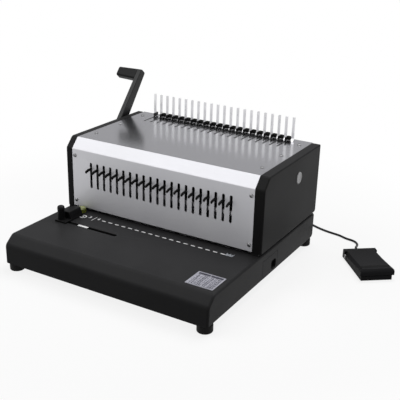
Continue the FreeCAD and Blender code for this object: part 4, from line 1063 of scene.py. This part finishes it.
sheetChart = {
    "corners": ((141.8, -170.0), (190.5, -126.0)),
    "corner": 1.2,
    "proud": 0.14,
    "ink": (0.03, 0.06),  # how far the ink is sunk in the label and stands proud of it
    "edge": 1.6,
    "columns": (("6", "8", "10", "12", "14"), ("20", "40", "65", "95", "125"),
                ("16", "19", "22", "25", "32"), ("145", "165", "190", "220", "280")),
    "lines": (0.5, 0.4),  # the widths of the upright and the level lines
    "head": (1.0, 0.8),  # the gap round a shaded head, and its corner
    "numberSize": 6.8,
    "numberBold": 0.14,
}


def makeSheetChart():
    # plain numbers: the comb's width in mm, and how many sheets it holds
    (left, front), (right, rear) = sheetChart["corners"]
    low = shelfPrint["shelf"] - shelfPrint["sunk"]
    high = shelfPrint["shelf"] + sheetChart["proud"]
    corner = sheetChart["corner"]
    label = addMark(Vector((left, front, low)) * mm, Vector((right, rear, high)) * mm, corner * mm)
    finishPiece(label, "sheetChart", "labelGrey", "cover_plug", stands=False)
    edge = sheetChart["edge"]
    left, front, right, rear = left + edge, front + edge, right - edge, rear - edge
    sunk, proud = sheetChart["ink"]
    low, high = high - sunk, high + proud
    columns = sheetChart["columns"]
    columnWidth = (right - left) / len(columns)
    rowHeight = (rear - front) / (len(columns[0]) + 1)
    upright, level = (width / 2 for width in sheetChart["lines"])
    gap, corner = sheetChart["head"]
    marks = []
    for i in range(1, len(columns)):
        x = left + i * columnWidth
        marks.append(((x - upright, front), (x + upright, rear), 0))
    for i in range(len(columns[0]) + 2):
        y = front + i * rowHeight
        marks.append(((left, y - level), (right, y + level), 0))
    for i in range(0, len(columns), 2):  # a shaded head over each pair of columns
        x = left + i * columnWidth
        start, end = (x + gap, rear - rowHeight + gap), (x + 2 * columnWidth - gap, rear - gap)
        marks.append((start, end, corner))
    ink = [
        addMark(Vector((*start, low)) * mm, Vector((*end, high)) * mm, corner * mm)
        for start, end, corner in marks
    ]
    size, bold = sheetChart["numberSize"] * mm, sheetChart["numberBold"] * mm
    for i, column in enumerate(columns):
        for j, words in enumerate(column):
            x, y = left + (i + 0.5) * columnWidth, rear - (j + 1.5) * rowHeight
            ink.append(addWords(words, size, Vector((x, y, (low + high) / 2)) * mm, bold))
    finishPiece(joinPieces(ink), "sheetChartInk", "labelInk", "cover_plug", stands=False)


makeSheetChart()
print("chart of sheets laid")

guidePointer = {
    "low": (-126.2, -94.4, 62.7),
    "high": (-104.8, -89.4, 63.3),
    "corner": 0.5,
    "crown": (0.3, 0.12),  # how far its top is drawn in, and raised
}


def makeGuidePointer():
    cap = addMark(
        Vector(guidePointer["low"]) * mm, Vector(guidePointer["high"]) * mm,
        guidePointer["corner"] * mm,
    )
    makeActive(cap)
    pick("faces", lambda middle, normal: normal.z > 0.9)
    inset, raised = (size * mm for size in guidePointer["crown"])
    bpy.ops.mesh.inset(thickness=inset)
    bpy.ops.transform.translate(value=(0, 0, raised))
    bpy.ops.object.mode_set(mode="OBJECT")
    guide = bodyOf("edge_guide")
    finishPiece(cap, "edgeGuidePointer", "printWhite", "cover_plug", stands=False, body=guide)


makeGuidePointer()
print("pointer capped")

ramStrip = {"low": (-121.0, -27.0, 121.5), "high": (177.5, -21.9, 129.0), "eased": 0.3}


def makeRamStrip():
    strip = addBlock(Vector(ramStrip["low"]) * mm, Vector(ramStrip["high"]) * mm)
    bevelModifier(ramStrip["eased"] * mm, 2, 40)
    finishPiece(
        strip, "ramStrip", "plateAluminium", "frame_plates", stands=False, body=bodyOf("ram_beam")
    )


makeRamStrip()
print("strip on the ram fixed")

coverPlug = {
    "centre": (202.3, 103.5, 160.0),
    "profile": (
        (3.6, -6.0), (4.0, -5.4), (4.0, 0.0), (10.4, 0.0), (10.4, 0.5), (9.9, 1.0), (9.2, 1.2),
        (8.2, 1.15), (7.4, 0.75), (4.0, 0.7), (1.0, 0.7),
    ),
}


def makeCoverPlug():
    cap = addTurned([(r * mm, z * mm) for r, z in coverPlug["profile"]], 56)
    setPiece(cap, facing(Vector(coverPlug["centre"]) * mm, (1, 0, 0)))
    finishPiece(cap, "coverPlug", "plugPlastic", "cover_plug", angle=35)


makeCoverPlug()
print("plug of the right side made")

strainRelief = {
    "place": (56.5, 197.6, 30.0),
    "start": (
        (7.0, -6.5), (8.0, -6.0), (8.0, -2.6), (5.5, -2.5), (5.5, 0.0), (8.0, 0.0), (8.0, 1.5),
        (7.4, 2.0), (5.5, 2.1),
    ),
    "length": 16.0,
    "radii": (5.4, 3.2),
    "ribs": 6,
    "ribDepth": 0.75,
    "ribShape": ((0.15, 0), (0.5, 0), (0.62, 1), (0.9, 1)),  # along a rib, and cut or not
    "end": (0.5, 2.0),  # the rounding of its end, and the radius of its mouth
    "pedalPlace": (0, 48.5, 7.6),
    "pedalEnd": ((4.4, -1.0), (4.4, 4.6), (4.0, 5.6), (3.2, 6.0), (2.4, 6.0)),
}


def makeStrainReliefs():
    # a collar and a ribbed taper at the machine, and a short bush at the foot switch
    profile = [*strainRelief["start"]]
    thick, thin = strainRelief["radii"]
    start, length, ribs = profile[-1][1], strainRelief["length"], strainRelief["ribs"]
    rounding, mouth = strainRelief["end"]
    for i in range(ribs):
        for share, cut in strainRelief["ribShape"]:
            along = start + (length - start - rounding - 0.1) * (i + share) / ribs
            radius = thick + (thin - thick) * (along - start) / (length - start)
            profile.append((radius - cut * strainRelief["ribDepth"], along))
    profile += [(thin, length - rounding), (thin - rounding, length), (mouth, length)]
    relief = addTurned([(r * mm, z * mm) for r, z in profile], 36)
    setPiece(relief, facing(Vector(strainRelief["place"]) * mm, (0, 1, 0)))
    bush = addTurned([(r * mm, z * mm) for r, z in strainRelief["pedalEnd"]], 36)
    rear = pedalFrame @ (Vector(strainRelief["pedalPlace"]) * mm)
    setPiece(bush, facing(rear, pedalFrame.to_3x3() @ Vector((0, 1, 0))))
    finishPiece(joinPieces([relief, bush]), "cordGlands", "blackRubber", "cord_glands", angle=35)


footSwitch = {
    "place": (322.9, 155.15),
    "yaw": 38.0,
    "ridge": (-45.0, 21.2),  # y and height of the tread's ridge, and of its rear end
    "rear": (35.0, 15.8),
    "oldHeights": (14.4, 27.0),  # of the tread's rear end and its ridge
    "button": (12.0, 0.6),  # what of the switch stands above this comes down by this
    "block": (36.0, 30.3, 15.5),  # where the rear block starts, its half width and its height
    "oldBlock": (27.5, 14.4),
    "near": (1.0, 3.0, 1.5),  # how far below the tread's top, or inside the block, still counts
    "ribs": (3, 5.0, 3.4),  # how many, the first one's way behind the ridge, and their step
    "rib": (26.0, 1.2, 0.3, 0.35, 0.35),  # reach each way, width, depth, height and rounding
    "stud": ((3.9, -0.6), (3.9, 0.9), (3.4, 1.3), (2.0, 1.45), (1.0, 1.45)),
    "studPlace": (-30.3, 32.5, 7.0),
}
pedalFrame = Matrix.Translation(Vector((*footSwitch["place"], 0)) * mm) @ Matrix.Rotation(
    math.radians(footSwitch["yaw"]), 4, "Z"
)
makeStrainReliefs()
print("strain reliefs made")


def fitFootSwitch():
    # the tread's ridge comes down a little, and the rear block grows as wide as the tread
    back = pedalFrame.inverted()
    rearZ, ridgeZ = footSwitch["rear"][1] * mm, footSwitch["ridge"][1] * mm
    oldRear, oldRidge = (size * mm for size in footSwitch["oldHeights"])
    share = (ridgeZ - rearZ) / (oldRidge - oldRear)
    nearTread, nearSide, nearTop = (size * mm for size in footSwitch["near"])
    for vertex in dressed["pedal_tread"].data.vertices:
        point = back @ vertex.co
        if point.z > oldRear - nearTread:
            point.z = rearZ + (point.z - oldRear) * share
            vertex.co = pedalFrame @ point
    above, drop = (size * mm for size in footSwitch["button"])
    for vertex in dressed["pedal_switch"].data.vertices:
        if vertex.co.z > above:
            vertex.co.z -= drop
    start, half, top = (size * mm for size in footSwitch["block"])
    oldHalf, oldTop = (size * mm for size in footSwitch["oldBlock"])
    for vertex in dressed["pedal_base"].data.vertices:
        point = back @ vertex.co
        if point.y > start:
            if abs(point.x) > oldHalf - nearSide:
                point.x += math.copysign(half - oldHalf, point.x)
            if point.z > oldTop - nearTop:
                point.z += top - oldTop
            vertex.co = pedalFrame @ point


def makeFootSwitchDetails():
    ridgeY, ridgeZ = footSwitch["ridge"]
    rearY, rearZ = footSwitch["rear"]
    slope = math.atan2(ridgeZ - rearZ, rearY - ridgeY)
    reach, wide, depth, height, rounding = (size * mm for size in footSwitch["rib"])
    rib = addBlock((-reach, -wide / 2, -depth), (reach, wide / 2, height))
    pick("edges", lambda middle, way: middle.z > 0 and abs(way.normalized().z) < 0.5)
    bpy.ops.mesh.bevel(offset=rounding, segments=3, affect="EDGES")
    bpy.ops.object.mode_set(mode="OBJECT")
    ribs = []
    count, start, step = footSwitch["ribs"]
    for i in range(count):
        along = ridgeY + start + i * step
        height = ridgeZ - (along - ridgeY) * math.tan(slope)
        tilt = Matrix.Rotation(-slope, 4, "X")
        ribs.append(
            copyPiece(rib, pedalFrame @ Matrix.Translation(Vector((0, along, height)) * mm) @ tilt)
        )
    bpy.data.objects.remove(rib)
    finishPiece(joinPieces(ribs), "pedalRibs", "blackRubber", "pedal_tread", stands=False)
    stud = addTurned([(r * mm, z * mm) for r, z in footSwitch["stud"]], 36)
    setPiece(stud, pedalFrame @ facing(Vector(footSwitch["studPlace"]) * mm, (-1, 0, 0)))
    finishPiece(stud, "pedalStud", "greyPlastic", "pedal_switch", stands=False)


fitFootSwitch()
makeFootSwitchDetails()
print("foot switch finished")

rearDetails = {
    "plate": (-150.0, 120.0, 44.0, 26.0, 0.6),  # x, z, width, height and thickness
    "sunk": 0.1,
    "corner": 2.0,
    "eased": 0.15,
    "rivet": ((1.4, 0.0), (1.4, 0.2), (1.05, 0.6), (0.42, 0.75)),
    "rivetPlace": (3.0, 0.05),  # in from the plate's end, and sunk in it
}


def makeRearDetails():
    # a blank rating plate held by two rivets
    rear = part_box("rear_panel")[1][1]
    x, z, width, height, thick = (size * mm for size in rearDetails["plate"])
    plate = addBlock(
        (x - width / 2, rear - rearDetails["sunk"] * mm, z - height / 2),
        (x + width / 2, rear + thick, z + height / 2),
    )
    pick("edges", lambda middle, way: abs(way.normalized().y) > 0.9)
    bpy.ops.mesh.bevel(offset=rearDetails["corner"] * mm, segments=5, affect="EDGES")
    bpy.ops.object.mode_set(mode="OBJECT")
    bevelModifier(rearDetails["eased"] * mm, 2, 60)
    finishPiece(plate, "ratingPlate", "plateAluminium", "frame_plates", stands=False)
    rivet = addTurned([(r * mm, z * mm) for r, z in rearDetails["rivet"]], 20)
    inward, sunk = (size * mm for size in rearDetails["rivetPlace"])
    rivets = []
    for side in (-1, 1):
        place = (x + side * (width / 2 - inward), rear + thick - sunk, z)
        rivets.append(copyPiece(rivet, facing(place, (0, 1, 0))))
    bpy.data.objects.remove(rivet)
    finishPiece(
        joinPieces(rivets), "ratingPlateRivets", "screwSteel", "case_screws", stands=False, angle=30
    )


makeRearDetails()
print("rear plate riveted")
